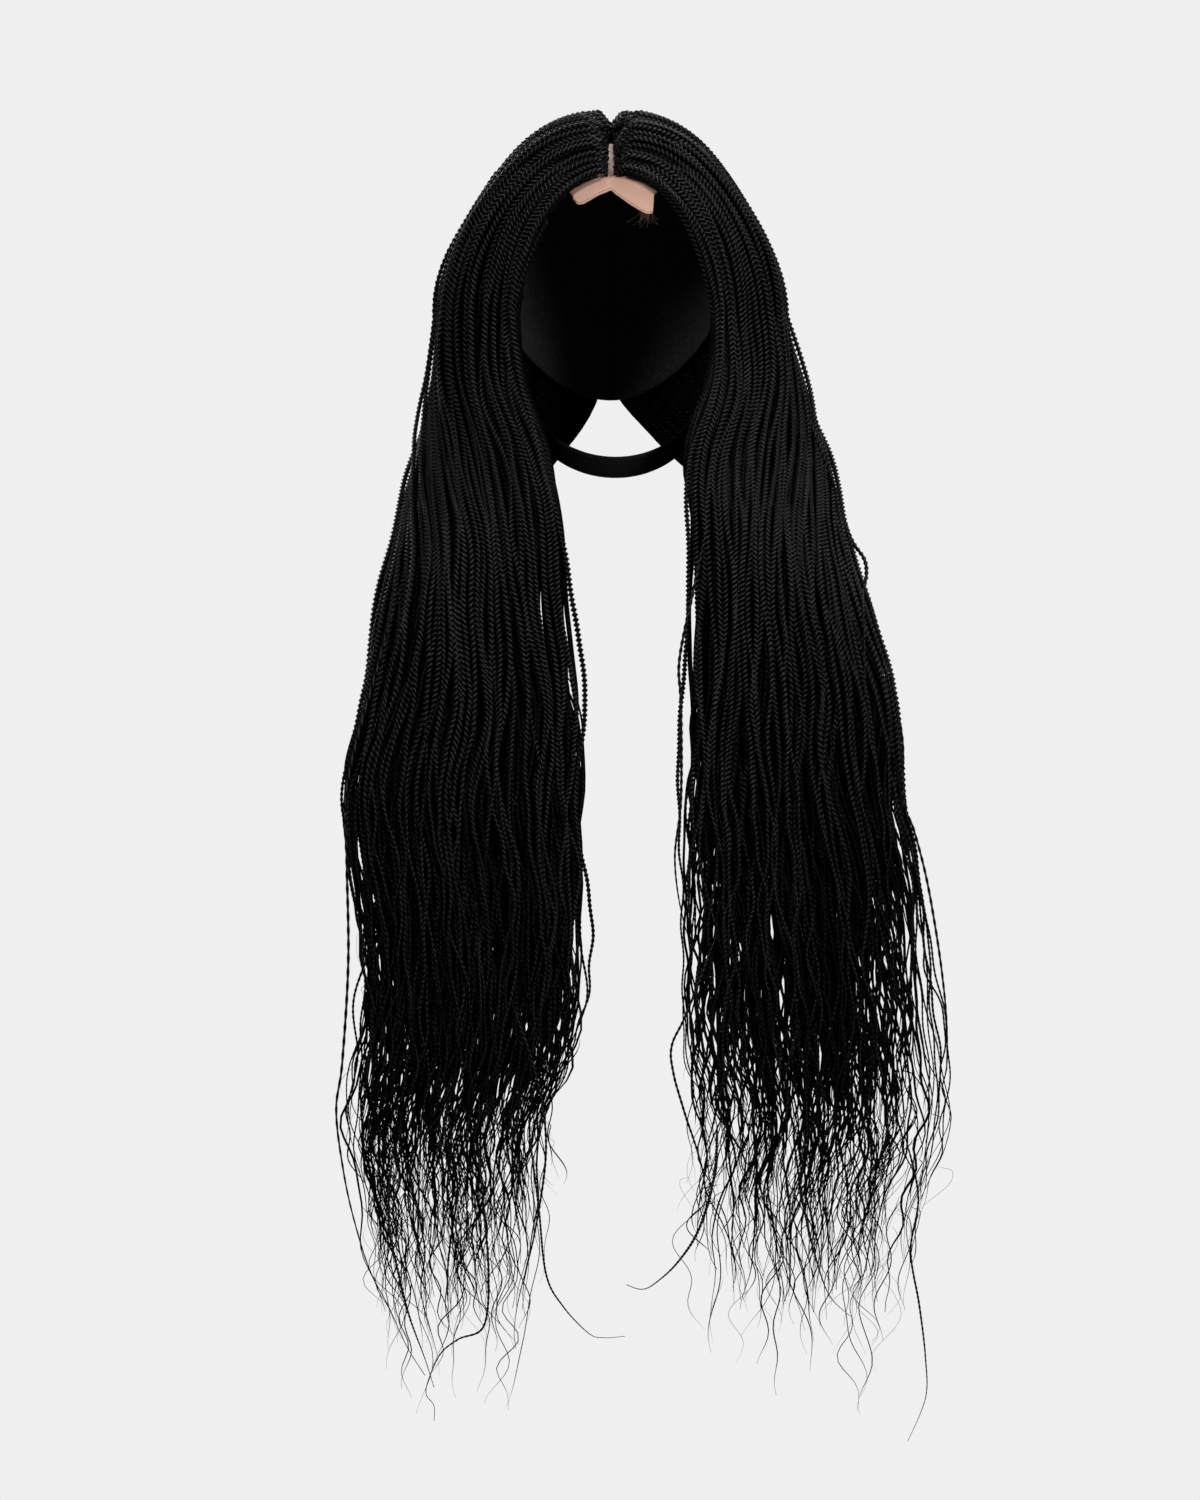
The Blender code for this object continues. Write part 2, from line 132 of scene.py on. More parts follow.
# How far a twist strays from its place, in metres, down its length
STRAY_ALONG = (0.0, 0.4, 1.0, 3.0, 5.0, 7.0, 9.0, 10.0, 11.0, 13.0)
STRAY_SLOW = (0.0003, 0.0015, 0.0020, 0.0022, 0.0026, 0.0044, 0.0066, 0.0072, 0.0080, 0.0090)
STRAY_QUICK = (0.0000, 0.0001, 0.0001, 0.0002, 0.0003, 0.0008, 0.0022, 0.0036, 0.0046, 0.0052)
STRAY_CLUMP = (0.0000, 0.0002, 0.0005, 0.0010, 0.0012, 0.0016, 0.0028, 0.0040, 0.0050, 0.0060)
SLOW_WAVE = 0.17
QUICK_WAVE = 0.060
CLUMP_WAVE = 0.26
# Shares of the sideways straying that also lift a twist or press it in
SLOW_LIFT = 0.45
QUICK_LIFT = 0.6
# Waves are sums of sines with these shares, each with a length spread by these factors
WAVE_SHARES = (0.62, 0.38, 0.25)
WAVE_SPREAD = (0.55, 1.5)
# The field that moves neighbours together: sines, turns round the head, spread and bend
CLUMP_SINES = 7
CLUMP_TURNS = (2.0, 11.0)
CLUMP_SPREAD = (0.6, 1.6)
CLUMP_BEND = 1.4
# Steps that find the directions across and out of the hair, and the last place around
AROUND_STEP = 0.01
DEPTH_STEP = 0.05
LAST_AROUND = 0.98
# Hanging strands spread this evenly over a mass's front and back, between these places
EVEN_SHARE = 0.85
EVEN_ALONG = (2.5, 6.0)
# They reach past the ends of that spread by this share, to fill it to its edges
EVEN_REACH = 0.03
# Where strands with a drift begin and end to move over their neighbours
DRIFT_ALONG = (4.5, 11.0)
OUTER_DRIFT = 0.05
INNER_DRIFT = 0.12
# Most twists draw in from the mass's edges towards its ends, by up to this share
GATHER = 0.14
INNER_GATHER = 0.26
GATHER_ALONG = (6.8, 10.0)
# Locks that the ends run into: their places over each mass, from -1 at its left edge to 1 at
# its right edge, where they begin, and how firmly they pull
LOCK_PLACES = {
    -1: (-0.66, -0.35, -0.02, 0.37, 0.76, 0.96),
    1: (-0.91, -0.57, -0.25, 0.13, 0.60, 0.96),
}
LOCK_ALONG = (9.4, 11.4)
LOCK_PULL = 0.60
# Where each mass lets light through: around low and high, along first and last. There the
# twists grow thin, and this share of the ones inside ends between those two.
SPARSE_PLACES = {
    -1: ((-0.02, 0.05, 7.6, 9.2), (0.46, 0.54, 6.0, 7.5), (0.95, 1.02, 7.6, 9.2)),
    1: ((-0.02, 0.08, 6.2, 8.0), (0.37, 0.63, 6.4, 8.4), (0.92, 1.02, 6.2, 8.0)),
}
SPARSE_WIDTH = 0.55
SPARSE_SHARE = 0.70
SPARSE_SOFTNESS = 0.02

# Inner layers: count on a side, around low and high, depth, first along, last along low and
# high, radius. The last two layers fill the edges of each mass.
INNER_LAYERS = (
    (70, 0.00, 1.00, 0.72, 0.00, 8.9, 10.6, 0.0020),
    (56, 0.00, 1.00, 0.36, 0.06, 8.7, 10.2, 0.0028),
    (60, 0.00, 1.00, 0.05, 0.90, 8.4, 10.0, 0.0032),
    (15, 0.00, 0.13, 0.50, 0.50, 8.4, 9.8, 0.0021),
    (12, 0.87, 0.98, 0.50, 3.00, 8.4, 9.8, 0.0021),
)
INNER_RINGS = 66
INNER_SPREAD = (0.2, 0.8)
INNER_LAST_START = 0.1
INNER_LEVEL_SPREAD = 0.06
INNER_LEVELS = (0.03, 0.9)
# Thin twists that fill the lower half: count on a side, first along, last along, radius
FILL_COUNT = 190
FILL_START = (4.6, 6.6)
FILL_STOP = (9.8, 11.8)
FILL_RADIUS = 0.00095
FILL_RADIUS_SPREAD = (0.8, 1.15)
FILL_RINGS = 58
# Fill twists, wisps and fuzz: shares of their length that thin at the root and at the tip,
# depth of the root, lowest level, and least length in along
SPREAD_ROOT_SHARE = 0.12
SPREAD_TIP_SHARE = 0.25
SPREAD_ROOT_DEPTH = 0.35
SPREAD_LEVEL = 0.1
SPREAD_LEAST_LENGTH = 0.5
# Single strands round the ends: name, count on a side, first along, length in along, radius,
# rings, and how unruly they are
LOOSE_ENDS = (
    ("wisps", 180, (9.0, 10.9), (0.60, 2.00), (0.00026, 0.00052), 28, 1.6),
    ("fuzz", 110, (8.0, 11.5), (0.25, 0.80), (0.00010, 0.00017), 24, 2.6),
)
LAST_ALONG = 12.6

# Stray twists that the photograph shows apart from the rest, as points in millimetres, x and
# height, on the front of the hair: name, width share, then the route from its root down
STRAYS = (
    ("left_outline", 0.50, (
        (-140, -300), (-154, -350), (-175, -432), (-175, -482), (-174, -549), (-178, -616),
        (-182, -647), (-178, -683), (-171, -717), (-160, -752), (-147, -777), (-135, -803),
        (-123, -822),
    )),
    ("left_s_curl", 0.42, (
        (-89, -657), (-85, -704), (-81, -752), (-84, -789), (-101, -798), (-113, -808),
        (-121, -826), (-122, -835), (-117, -842), (-117, -852),
    )),
    ("left_inner_curl", 0.36, (
        (-54, -663), (-48, -710), (-43, -755), (-32, -776), (-15, -794), (-5, -797), (9, -796),
    )),
    ("left_inner_tip", 0.40, (
        (-66, -575), (-50, -622), (-43, -670), (-50, -725), (-61, -771), (-64, -792), (-63, -804),
    )),
    ("left_low_tip", 0.45, (
        (-145, -677), (-147, -720), (-140, -757), (-133, -784), (-123, -811), (-117, -830),
    )),
    ("right_outline", 0.45, (
        (172, -315), (192, -393), (193, -441), (200, -461), (208, -491), (214, -523), (219, -557),
        (222, -589), (222, -618), (219, -634), (225, -651), (220, -675), (212, -690), (204, -707),
    )),
    ("right_long_tip", 0.36, (
        (194, -663), (203, -704), (198, -740), (204, -777), (208, -811), (208, -838), (196, -866),
    )),
    ("right_inner_curl", 0.50, (
        (70, -657), (68, -690), (58, -725), (44, -747), (29, -761), (20, -765), (10, -762),
    )),
    ("right_middle_tip", 0.40, ((120, -663), (127, -710), (135, -744), (144, -769), (158, -783))),
    ("right_shoulder_loop", 0.75, (
        (133, -185), (150, -232), (161, -266), (170, -281), (171, -293), (168, -305), (168, -335),
        (168, -375),
    )),
    ("right_inner_stray", 0.55, (
        (66, -250), (54, -305), (45, -350), (46, -379), (46, -442), (42, -482), (48, -523),
        (62, -560),
    )),
    ("right_knee", 0.42, (
        (70, -530), (50, -582), (40, -604), (41, -622), (48, -647), (61, -690), (64, -737),
        (70, -752),
    )),
)
MM_PER_M = 1000
STRAY_RINGS = 120
STRAY_LIFT = 0.003
STRAY_TIP_SHARE = 0.5
STRAY_ROOT_SHARE = 0.10
STRAY_ROOT_WIDTH = 0.5
STRAY_ROOT_SINK = 0.010
# Seeds of the random draws, and the margin of each strand's strip of the baking map
HAIR_SEED = 40
THREAD_SEED = 11
BAKE_MARGIN = 0.06

# Cap and lace, with the same outlines as in the CAD source
CAP_WALL = 0.0015
CAP_FRONT_AROUND = 0.03
RIM_TEMPLE = 1.02
RIM_EAR = 0.93
RIM_NAPE = 1.34
RIM_EAR_AROUND = 0.36
LACE_LIFT = 0.00025
LACE_WALL = 0.0006
LACE_ALONG = 0.38
LACE_AROUND = 0.62
LACE_GAP = 0.005
LACE_GRID = (97, 37)
# Rows of the cap beside and behind the lace's notch, and columns from its middle out
CAP_ROWS = (36, 24)
CAP_COLUMNS = (12, 26)
# The lace as it was cut, laid flat: place across, and how far around its trimmed edge lies there
FLAP_EDGE = (
    (-1.00, -0.035), (-0.92, -0.125), (-0.78, -0.152), (-0.60, -0.142), (-0.38, -0.117),
    (-0.15, -0.097), (0.00, -0.078), (0.13, -0.115), (0.28, -0.147), (0.48, -0.192),
    (0.67, -0.222), (0.84, -0.240), (0.95, -0.225), (1.00, -0.190),
)
# Its corners are rounded by the mean of its edge at these shifts across
FLAP_SHIFTS = (-0.02, 0.0, 0.02)
# Thread lines along the flap's edge: how far inside it in around, and radius
EDGE_THREADS = ((-0.001, 0.00036), (0.018, 0.00026))
THREAD_ACROSS = (-0.97, 1.0)
THREAD_POINTS = 64
FRAYED_COUNT = 26
FRAYED_ACROSS = (0.72, 1.0)
FRAYED_AROUND = 0.03
FRAYED_LENGTH = (0.004, 0.012)
FRAYED_LEAN = (-0.5, 0.7)
FRAYED_FORWARD = 0.35
FRAYED_RADIUS = (0.00011, 0.00005)

# Strap, on the same route as in the CAD source
STRAP_WIDTH = 0.0165
STRAP_WALL = 0.0010
STRAP_FORWARD = 0.55
STRAP_SHIFT = 0.003
STRAP_ROUTE = np.array((
    (0.0000, -0.0650, -0.2200), (0.0230, -0.0610, -0.2160), (0.0430, -0.0500, -0.2040),
    (0.0585, -0.0300, -0.1810), (0.0680, -0.0120, -0.1500), (0.0732, -0.0010, -0.1180),
    (0.0742, 0.0010, -0.1000),
))
STRAP_RINGS = 220
# The right half of its section, top and bottom: place across from the middle, and height as
# a share of the wall
STRAP_TOP = np.array((
    (0.00, 0.60), (0.30, 0.58), (0.60, 0.55), (0.82, 0.50), (0.86, 0.30), (0.90, 0.50),
    (0.95, 0.58), (0.99, 0.42), (1.00, 0.00),
))
STRAP_BOTTOM = np.array(((0.97, -0.50), (0.50, -0.50), (0.00, -0.50)))

# Camera, as the photograph was framed
CAMERA_SPOT = (-0.0074, -6.06, -0.409)
FRAME_HEIGHT = 1.005
FRAME_DISTANCE = 6.0
SENSOR = 36.0
CAMERA_CLIP = (0.1, 50.0)
FLOOR_HEIGHT = -1.6
FLOOR_RADIUS = 7.5
FLOOR_SIDES = 64
FLOOR_MOTTLE = 3.0
# Glow of the floor as the camera sees it, so that it meets the backdrop's brightness
FLOOR_GLOW = 0.835
# Colour of the surroundings, and brightness as the camera sees them and as they light the hair
BACKDROP_COLOUR = (0.865, 0.865, 0.870, 1.0)
BACKDROP_GLOW = 1.0
BACKDROP_LIGHT = 0.07
WHITE = (1.0, 1.0, 1.0, 1.0)
# Soft lights: name, place, aim, size and power
LIGHTS = (
    ("key", (-1.5, -2.6, 1.2), (0.0, -0.05, -0.25), (1.0, 1.0), 48.0),
    ("fill", (1.9, -2.3, 0.5), (0.0, -0.05, -0.35), (0.9, 1.4), 54.0),
    ("top", (0.4, 0.5, 1.6), (0.0, 0.0, -0.2), (1.2, 0.9), 24.0),
    ("rear", (-0.8, 2.4, 0.9), (0.0, 0.0, -0.3), (1.4, 1.2), 20.0),
)

# Colours of each material, as two places on its pattern and the colour at each
# Twist ramp: near-black, painted shade towards the creases, up to painted highlights on the crests.
# The inner ramp paints fainter highlights along the winding crests of plain tubes.
TWIST_HIGHLIGHT_RAMP = ((0.05, (0.0002, 0.0002, 0.0002)), (1.0, (0.0663, 0.0633, 0.0738)))
INNER_HIGHLIGHT_RAMP = ((0.05, (0.0002, 0.0002, 0.0002)), (1.0, (0.0080, 0.0077, 0.0088)))
THREAD_RAMP = ((0.0, (0.030, 0.016, 0.012)), (1.0, (0.160, 0.085, 0.060)))
LACE_RAMP = ((0.3, (0.58, 0.335, 0.25)), (0.7, (0.70, 0.43, 0.33)))
ELASTIC_RAMP = ((0.0, (0.0035, 0.0035, 0.0040)), (1.0, (0.0075, 0.0075, 0.0085)))
NET_RAMP = ((0.06, (0.034, 0.034, 0.036)), (0.16, (0.006, 0.006, 0.006)))
FLOOR_RAMP = ((0.0, (0.10, 0.10, 0.10)), (1.0, (0.11, 0.11, 0.11)))
# Hair: how sharp the painted highlights along the crests are, the gain and the base of their
# mottling, and how the painted highlights fade between these numbers of bumps from the root
CREST_SHARPNESS = 20.0
HIGHLIGHT_MOTTLE = (0.5, 0.2)
HIGHLIGHT_FADE_BUMPS = (110.0, 185.0)
HIGHLIGHT_FADE_SHARE = 0.20
HAIR_ROUGHNESS = (0.75, 0.30)
HAIR_SPECULAR = 0.12
# Filaments round a twist and along each bump, and the scale of its painted highlights' uneven tint
FILAMENTS_ROUND = 26.0
FILAMENTS_ALONG = 0.7
FILAMENT_HEIGHT = 0.00010
TINT_SCALE = 55.0
# Leaning of the two strands on a plain tube, in turns for each bump, and their height
PLAIN_LEAN = 0.5
PLAIN_TWIST_HEIGHT = 0.0010
# Lace: cells and blotches for each metre, height of the cells, and its strip at the parting,
# painted paler as painted light over the shade between the mounds, with the distance from the
# middle and the heights where that begins
LACE_CELLS = 1500.0
LACE_CELL_HEIGHT = 0.0004
LACE_BLOTCHES = 45.0
STRIP_EDGE = (0.0035, 0.0055)
STRIP_HEIGHTS = (-0.024, -0.016)
STRIP_PAINTED_LIGHT_COLOUR = (0.86, 0.62, 0.52, 1.0)
THREAD_MOTTLE = 400.0
NET_CELLS = 560.0
NET_CELL_HEIGHT = 0.001
# Elastic: ribs across it, weave along it, and their height
RIB_RATE = 260.0
WEAVE_RATE = 22.0
RIB_HEIGHT = 0.00004

FRONT_NODES = ("hairline", "crown", "front_drop", "side_drop", "front_fall")
BACK_NODES = ("back_crown", "back_drop", "back_fall")
BODY = "root"


def smooth(value):
    value = np.clip(value, 0.0, 1.0)
    return value * value * (3 - 2 * value)


def mix(low, high, share):
    return low + (high - low) * share


def ramp_between(value, ends):
    """0 below the first of two ends, 1 above the second, and smooth between them."""
    return smooth((value - ends[0]) / (ends[1] - ends[0]))


def unit(vectors):
    return vectors / np.maximum(np.linalg.norm(vectors, axis=-1, keepdims=True), 1e-12)


def head_direction(side, around, along):
    """The way from the head's middle to each place on the cap."""
    tilt = np.radians(mix(*PARTING_TILTS, around))
    turn = np.radians(mix(FACE_TURNS[side], BACK_TURN, np.maximum(0.0, around)))
    level = np.zeros_like(tilt)
    start = np.stack((level, -np.sin(tilt), np.cos(tilt)), -1)
    end = np.stack((side * np.sin(turn), -np.cos(turn), level), -1)
    face_share = smooth(around / EDGE_AROUND)
    fade = 1 - smooth(around / ARCH_AROUND)
    sideways = fade * side * mix(EDGE_SIDEWAYS, ARCH_SIDEWAYS, face_share)
    arch = np.stack((sideways, level, fade * mix(EDGE_UP, ARCH_UP, face_share)), -1)
    middle = unit(start + end + arch)
    share = np.clip(along, 0.0, 1.0)[..., None]
    over = unit((1 - share) ** 2 * start + 2 * share * (1 - share) * middle + share**2 * end)
    drop = np.radians(90 * np.maximum(0.0, along - 1))[..., None]
    return over * np.cos(drop) - np.array((0.0, 0.0, 1.0)) * np.sin(drop)


def head_point(direction, lift):
    """The point that lies this far above the head in each direction from its middle."""
    axes = HEAD_AXES + np.asarray(lift)[..., None]
    reach = (np.abs(direction / axes) ** HEAD_ROUNDNESS).sum(-1) ** (-1 / HEAD_ROUNDNESS)
    return direction * reach[..., None] - np.array((0.0, 0.0, HEAD_RISE))


def back_share(around):
    return ramp_between(around, (BACK_AROUND, 1.0))


def dome_thickness(around, along):
    mound = mix(PARTING_THICKNESS, MOUND_THICKNESS, smooth(along / MOUND_ALONG))
    at_ear = mix(EAR_THICKNESS, BACK_THICKNESS, back_share(around))
    full = mix(mound, at_ear, ramp_between(along, (SWELL_ALONG, 1.0)))
    edge = smooth(around / FACE_EDGE_AROUND)
    return mix(np.minimum(full, FACE_EDGE_THICKNESS), full, edge)


def parting_openness(around):
    """1 where the parting shows the lace, 0 behind, where the hair closes over it."""
    return 1 - ramp_between(around, PARTING_CLOSES_AROUND)


def curve_through(rows, place):
    """Values on a smooth curve through rows of values, at places counted in rows."""
    last = len(rows) - 1
    row = np.minimum(place.astype(int), last - 1)
    share = (place - row)[..., None]
    before, low, high, after = (rows[np.clip(row + step, 0, last)] for step in (-1, 0, 1, 2))
    square, cube = share**2, share**3
    return (
        (2 * cube - 3 * square + 1) * low
        + (cube - 2 * square + share) * (high - before) / 2
        + (3 * square - 2 * cube) * high
        + (cube - square) * (after - low) / 2
    )


def section_at(along):
    """The row of SECTIONS at each place along the hair."""
    place = np.clip(along - 1, 0.0, len(SECTIONS) - 1)
    return np.moveaxis(curve_through(SECTIONS, place), -1, 0)


def mass_edges(side, section):
    """The inner and the outer edge of one side's mass, from a row of SECTIONS."""
    return section[1:3] if side < 0 else section[3:5]


def fall_point(side, around, along, depth):
    """Points of the hair below ear level, from the level sections alone."""
    section = section_at(along)
    edge, far = mass_edges(side, section)
    front, back, start, end, thick, rear = section[5:]
    half_width = side * (far - edge) / (1 - np.sin(np.radians(start)))
    half_depth = (back - front) / 2
    thick = mix(thick, rear, back_share(around))
    rounded = ramp_between(along, EDGE_ROUNDS_ALONG)
    thick = mix(FACE_EDGE_THICKNESS, thick, mix(smooth(around / FACE_EDGE_AROUND), 1.0, rounded))
    inset = (1 - depth) * np.minimum(thick, half_depth - MIDLINE_HALF_GAP)
    turn = np.radians(mix(start, end, around))
    x = far - side * half_width + side * (half_width - inset) * np.sin(turn)
    y = (back + front) / 2 - (half_depth - inset) * np.cos(turn)
    return np.stack((x, y, section[0]), -1)


def dome_point(side, around, along, depth):
    """Points of the hair between the parting and ear level."""
    lift = HAIR_LIFT + depth * dome_thickness(around, along)
    point = head_point(head_direction(side, around, along), lift)
    point[..., 0] += side * PARTING_HALF_WIDTH * parting_openness(around) * (1 - along) ** 4
    return point


def hair_point(side, around, along, depth):
    """Points anywhere in the hair, from arrays of the three values that the heading names."""
    around, along, depth = np.broadcast_arrays(around, along, depth)
    above = np.minimum(along, 1.0)
    below = np.maximum(along, 1.0)
    level = np.ones_like(below)
    step = dome_point(side, around, level, depth) - fall_point(side, around, level, depth)
    held = (1 - smooth((below - 1) / SETTLE_ROWS))[..., None]
    falling = fall_point(side, around, below, depth) + held * step
    point = np.where((along <= 1)[..., None], dome_point(side, around, above, depth), falling)
    point[..., 0] = side * (np.maximum(0.0, side * point[..., 0]) + MIDLINE_HALF_GAP)
    return point


def waves(random, reach, wave):
    """Smooth random curves between about -1 and 1 against reach, one for each strand."""
    total = np.zeros(reach.shape)
    for share in WAVE_SHARES:
        pitch = wave * random.uniform(*WAVE_SPREAD, (len(reach), 1))
        phase = random.uniform(0.0, 2 * math.pi, (len(reach), 1))
        total += share * np.sin(2 * math.pi * reach / pitch + phase)
    return total


def clumps(random, around, reach, wave):
    """A smooth random field that moves neighbouring twists together."""
    total = np.zeros(reach.shape)
    for _ in range(CLUMP_SINES):
        turns = random.uniform(*CLUMP_TURNS)
        pitch = wave * random.uniform(*CLUMP_SPREAD)
        phase = random.uniform(0.0, 2 * math.pi, 2)
        bend = CLUMP_BEND * np.sin(2 * math.pi * reach / pitch + phase[1])
        total += np.sin(turns * 2 * math.pi * around + phase[0] + bend)
    return total / math.sqrt(CLUMP_SINES)


def lengths_along(points):
    """The length of each path up to each of its points."""
    steps = np.linalg.norm(np.diff(points, axis=1), axis=2)
    return np.concatenate((np.zeros((len(points), 1)), np.cumsum(steps, axis=1)), axis=1)


def evened(around):
    """Around values that spread strands evenly over a hanging mass as it is seen from ahead."""
    half = np.minimum(np.floor(around * 2), 1.0)
    share = np.clip(mix(-EVEN_REACH, 1 + EVEN_REACH, around * 2 - half), 0.0, 1.0)
    return (half + np.arcsin(2 * share - 1) / math.pi + 0.5) / 2


def draw_together(random, side, points, along, gather):
    """Moves strands sideways, in from their mass's edges and then into its locks."""
    edge, far = mass_edges(side, section_at(along))
    middle, half_width = (edge + far) / 2, np.abs(far - edge) / 2
    drawn = gather * random.uniform(0.0, 1.0, (len(points), 1)) * ramp_between(along, GATHER_ALONG)
    points[..., 0] += drawn * (middle - points[..., 0])
    place = (points[..., 0] - middle) / half_width
    locks = np.array(LOCK_PLACES[side])
    lock = locks[np.abs(place[:, -1:] - locks).argmin(axis=1)][:, None]
    pull = LOCK_PULL * random.uniform(0.0, 1.0, (len(points), 1)) * ramp_between(along, LOCK_ALONG)
    points[..., 0] += pull * (lock - place) * half_width


def sparse_width(side, around, along):
    """Width share of strands, less than 1 where their mass lets light through."""
    share = np.ones(along.shape)
    for low, high, first, last in SPARSE_PLACES[side]:
        inside = ramp_between(around, (low - SPARSE_SOFTNESS, low + SPARSE_SOFTNESS))
        inside = inside - ramp_between(around, (high - SPARSE_SOFTNESS, high + SPARSE_SOFTNESS))
        share = share * mix(1.0, SPARSE_WIDTH, inside[:, None] * ramp_between(along, (first, last)))
    return share


def sparse_stop(random, side, around, stop):
    """Where strands end, sooner for most of them where their mass lets light through."""
    for low, high, first, last in SPARSE_PLACES[side]:
        chosen = (around > low) & (around < high) & (random.random(len(around)) < SPARSE_SHARE)
        sooner = random.uniform(first, last, len(around))
        stop = np.where(chosen, np.minimum(stop, sooner), stop)
    return stop


def resampled(points, along, rings):
    """The same paths with evenly spaced points, their along values and their lengths."""
    reach = lengths_along(points)
    spread = np.empty((len(points), rings, 3))
    places = np.empty((len(points), rings))
    for number, marks in enumerate(reach):
        wanted = np.linspace(0.0, marks[-1], rings)
        places[number] = np.interp(wanted, marks, along[number])
        for axis in range(3):
            spread[number, :, axis] = np.interp(wanted, marks, points[number, :, axis])
    return spread, places, reach[:, -1]


def strand_paths(random, side, around, depth, ends, samples, rings, unruly=1.0, inside=True):
    """Paths of strands through the hair, straying more the further they hang.

    They come with evenly spaced points, their along values and their lengths.
    """
    drift, gather = (INNER_DRIFT, INNER_GATHER) if inside else (OUTER_DRIFT, GATHER)
    start, stop = ends
    along = mix(start[:, None], stop[:, None], np.linspace(0.0, 1.0, samples)[None, :])
    moved = drift * random.uniform(-1.0, 1.0, (len(around), 1)) * ramp_between(along, DRIFT_ALONG)
    places = np.clip(around[:, None] + moved, 0.0, LAST_AROUND)
    places = mix(places, evened(places), EVEN_SHARE * ramp_between(along, EVEN_ALONG))
    depths = depth(along)
    points = hair_point(side, places, along, depths)
    reach = lengths_along(points)
    across = unit(hair_point(side, places + AROUND_STEP, along, depths) - points)
    outward = unit(hair_point(side, places, along, depths + DEPTH_STEP) - points)
    slow, quick, clump = (
        np.interp(along, STRAY_ALONG, amount) for amount in (STRAY_SLOW, STRAY_QUICK, STRAY_CLUMP)
    )
    sideways = slow * waves(random, reach, SLOW_WAVE)
    sideways += quick * waves(random, reach, QUICK_WAVE)
    sideways += clump * clumps(random, places, reach, CLUMP_WAVE)
    lift = SLOW_LIFT * slow * waves(random, reach, SLOW_WAVE)
    lift += QUICK_LIFT * quick * waves(random, reach, QUICK_WAVE)
    points = points + unruly * (across * sideways[..., None] + outward * lift[..., None])
    draw_together(random, side, points, along, gather)
    return resampled(points, along, rings)


def carried_frames(points):
    """Two directions across each path at every point, carried along without turning."""
    ahead = unit(np.gradient(points, axis=1))
    least = np.abs(ahead[:, 0]).argmin(axis=1)
    one = np.empty_like(points)
    latest = np.eye(3)[least]
    for ring in range(points.shape[1]):
        along_path = (latest * ahead[:, ring]).sum(-1, keepdims=True)
        latest = unit(latest - along_path * ahead[:, ring])
        one[:, ring] = latest
    return one, np.cross(ahead, one)


def tube_faces(strands, rings, sides, hands):
    """Triangles of closed tubes. On a twisted tube each patch is cut along its crease."""
    ring, spot = np.meshgrid(np.arange(rings - 1), np.arange(sides), indexing="ij")
    ahead = (spot + 1) % sides
    a, b = ring * sides + spot, ring * sides + ahead
    c, d = a + sides, b + sides
    right = np.stack((a, b, c, b, d, c), -1).reshape(-1, 3)
    left = np.stack((a, b, d, a, d, c), -1).reshape(-1, 3)
    fan = np.arange(1, sides - 1)
    first = np.stack((np.zeros_like(fan), fan + 1, fan), -1)
    last = np.stack((np.zeros_like(fan), fan, fan + 1), -1) + (rings - 1) * sides
    whole = []
    for number in range(strands):
        walls = right if hands[number] > 0 else left
        whole.append(np.concatenate((walls, first, last)) + number * rings * sides)
    return np.concatenate(whole)


def add_object(name, data):
    thing = bpy.data.objects.new(name, data)
    bpy.context.scene.collection.objects.link(thing)
    return thing


def mesh_object(name, points, faces, finish):
    """A smooth mesh object from arrays of points and triangles."""
    mesh = bpy.data.meshes.new(name)
    mesh.vertices.add(len(points))
    mesh.vertices.foreach_set("co", points.astype(np.float32).ravel())
    mesh.loops.add(faces.size)
    mesh.loops.foreach_set("vertex_index", faces.astype(np.int32).ravel())
    mesh.polygons.add(len(faces))
    mesh.polygons.foreach_set("loop_start", np.arange(0, faces.size, 3, dtype=np.int32))
    mesh.update(calc_edges=True)
    mesh.shade_smooth()
    mesh.materials.append(finish)
    return add_object(name, mesh)


def add_map(mesh, name, values):
    """Adds a UV map to a mesh from one pair of values for each corner of its faces."""
    layer = mesh.uv_layers.new(name=name)
    layer.data.foreach_set("uv", values.astype(np.float32).ravel())


def strand_maps(thing, faces, strands, rings, sides, lengths):
    """One map in bumps along each strand for its material, and one of strips for baking."""
    number = faces // (rings * sides)
    ring = faces % (rings * sides) // sides
    spot = (faces % sides).astype(float)
    wraps = (spot.max(axis=1) - spot.min(axis=1) > sides / 2)[:, None]
    spot = np.where(wraps & (spot < sides / 2), spot + sides, spot)
    turn = spot / sides
    reach = ring / (rings - 1) * lengths[number] / BUMP_LENGTH
    add_map(thing.data, "strand", np.stack((turn, reach), -1))
    strip = (number + BAKE_MARGIN + (1 - 2 * BAKE_MARGIN) * turn) / strands
    add_map(thing.data, "OFBake", np.stack((strip, ring / (rings - 1)), -1))
    thing.data.uv_layers.active = thing.data.uv_layers["strand"]
    thing.data.uv_layers["strand"].active_render = True


def tubes(name, points, wide, narrow, lengths, finish, hands=None, phases=None, sides=4):
    """Closed tubes along paths. With hands, the section turns a quarter at every ring."""
    strands, rings = points.shape[:2]
    one, two = carried_frames(points)
    twisted = hands is not None
    hands = hands if twisted else np.ones(strands)
    phases = phases if phases is not None else np.zeros(strands)
    ring = np.arange(rings)[None, :, None]
    spot = np.arange(sides)[None, None, :]
    angle = phases[:, None, None] + 2 * math.pi / sides * spot
    if twisted:
        angle = angle + hands[:, None, None] * math.pi / RINGS_PER_BUMP * ring
    radius = np.where(spot % 2 == 0, wide[..., None], narrow[..., None])
    offset = np.cos(angle)[..., None] * one[:, :, None] + np.sin(angle)[..., None] * two[:, :, None]
    places = points[:, :, None] + np.broadcast_to(radius, offset.shape[:3])[..., None] * offset
    faces = tube_faces(strands, rings, sides, hands)
    thing = mesh_object(name, places.reshape(-1, 3), faces, finish)
    strand_maps(thing, faces, strands, rings, sides, lengths)
    if twisted:
        sharpen_creases(thing.data, sides)
    return thing


